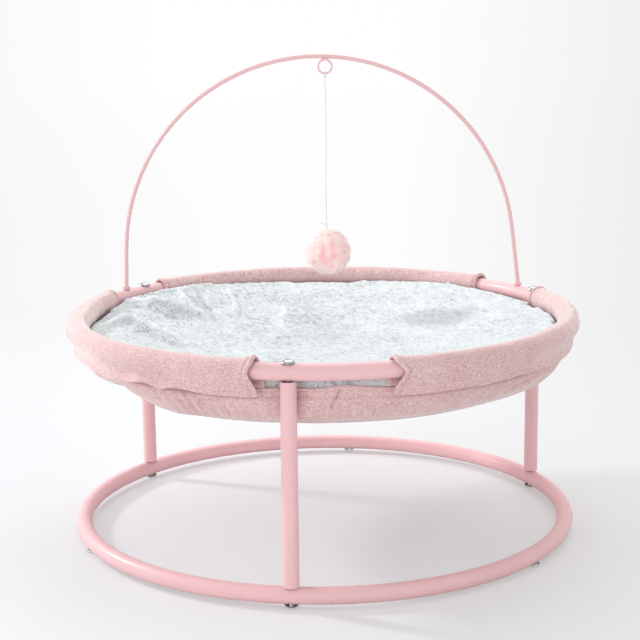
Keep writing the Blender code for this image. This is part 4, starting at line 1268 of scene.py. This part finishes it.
def add_pompom(finish):
    """The pompom: a soft middle covered with long curved fibres."""
    centre = POMPOM_MIDDLE + Vector((0.0012, 0.0, 0.0))
    core = pompom_core(centre, finish)
    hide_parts("pompom")
    draw = random.Random(41)
    shape = bmesh.new()
    golden = math.pi * (3.0 - math.sqrt(5.0))
    start = 0.80 * POMPOM_REACH
    for index in range(FIBRES):
        up = 1.0 - 2.0 * (index + 0.5) / FIBRES
        turn = golden * index + draw.uniform(-0.08, 0.08)
        level = math.sqrt(max(0.0, 1.0 - up * up))
        way = Vector((level * math.cos(turn), level * math.sin(turn), up))
        clump = lump(way.x * 4.0, way.y * 4.0, way.z * 4.0 + 7.0)
        comb = Vector((0.0, 0.0, -1.0)) * 0.5
        comb = comb + Vector([draw.uniform(-1, 1) for axis in "xyz"])
        comb = (comb - way * comb.dot(way)).normalized()
        bend = 0.45 + 0.35 * clump + draw.uniform(-0.2, 0.3)
        length = POMPOM_REACH * (0.95 + 0.05 * clump + draw.uniform(-0.12, 0.07))
        line = []
        for share in (0.0, 0.25, 0.5, 0.75, 1.0):
            swing = comb * (bend * share * share * 0.45)
            line.append(centre + (way + swing).normalized() * (start + (length - start) * share))
        thin = draw.uniform(0.00020, 0.00036)
        radii = [thin, thin * 1.1, thin, thin * 0.75, thin * 0.2]
        tube_into(shape, line, radii, 3, capped=False)
    fibres = add_piece("pompom_fibres", shape, finish, "toy")
    outward = [(vert.co - centre).normalized() for vert in fibres.data.vertices]
    fibres.data.normals_split_custom_set_from_vertices(outward)


def finish_frame():
    """Node materials on the rigid pieces, with their facets shaded smooth."""
    paint = powder_coat()
    steel = bright_steel()
    finishes = {"screw": steel, "nut": steel, "insert": steel, "foot": clear_plastic()}
    rounding = smooth_facets()
    for name, node in frame["nodes"].items():
        if node.hide_render:
            continue
        finish = finishes.get(name.split("_")[0], paint)
        node.data.materials.clear()
        node.data.materials.append(finish.material)
        node.modifiers.new("smooth", "NODES").node_group = rounding


def smooth_facets():
    """A modifier that joins facets and shades them smooth, except at sharp edges."""
    tree = bpy.data.node_groups.new("smooth_facets", "GeometryNodeTree")
    for way in ("INPUT", "OUTPUT"):
        tree.interface.new_socket("Geometry", in_out=way, socket_type="NodeSocketGeometry")
    graph = Graph(tree, "")
    source = graph.node("NodeGroupInput")
    weld = {"Geometry": source, "Distance": 0.00002}
    joined = graph.node("GeometryNodeMergeByDistance", {}, weld)
    shading = "GeometryNodeSetShadeSmooth"
    smooth = graph.node(shading, {"domain": "FACE"}, {"Geometry": joined})
    angle = graph.node("GeometryNodeInputMeshEdgeAngle", output="Unsigned Angle")
    limit = {0: angle, 1: math.radians(50.0)}
    sharp = graph.node("FunctionNodeCompare", {"operation": "GREATER_THAN"}, limit)
    edges = {"Geometry": smooth, "Selection": sharp, "Shade Smooth": False}
    shaded = graph.node(shading, {"domain": "EDGE"}, edges)
    graph.node("NodeGroupOutput", {}, {0: shaded})
    return tree


def dress_bed():
    """Make every piece of the looks."""
    bpy.context.scene.view_settings.view_transform = "Standard"
    add_camera()
    add_toy_string(white_string())
    add_world()
    for lamp in LAMPS:
        add_lamp(*lamp)
    add_floor()
    flap_linen = linen("pink_flap_linen", False)
    sling_linen = linen("pink_sling_linen", True)
    thread = sewing_thread()
    tape = fastening_tape()
    tapes = {"loop": [], "hook": []}
    for name in FLAP_ENDS:
        add_strips(name, tape, tapes)
    for name, strip in zip(FLAP_ENDS, tapes["hook"]):
        add_flap(name, flap_linen, thread)
    add_sling(sling_linen)
    add_pad(plush())
    add_pompom(fluff())
    finish_frame()


dress_bed()
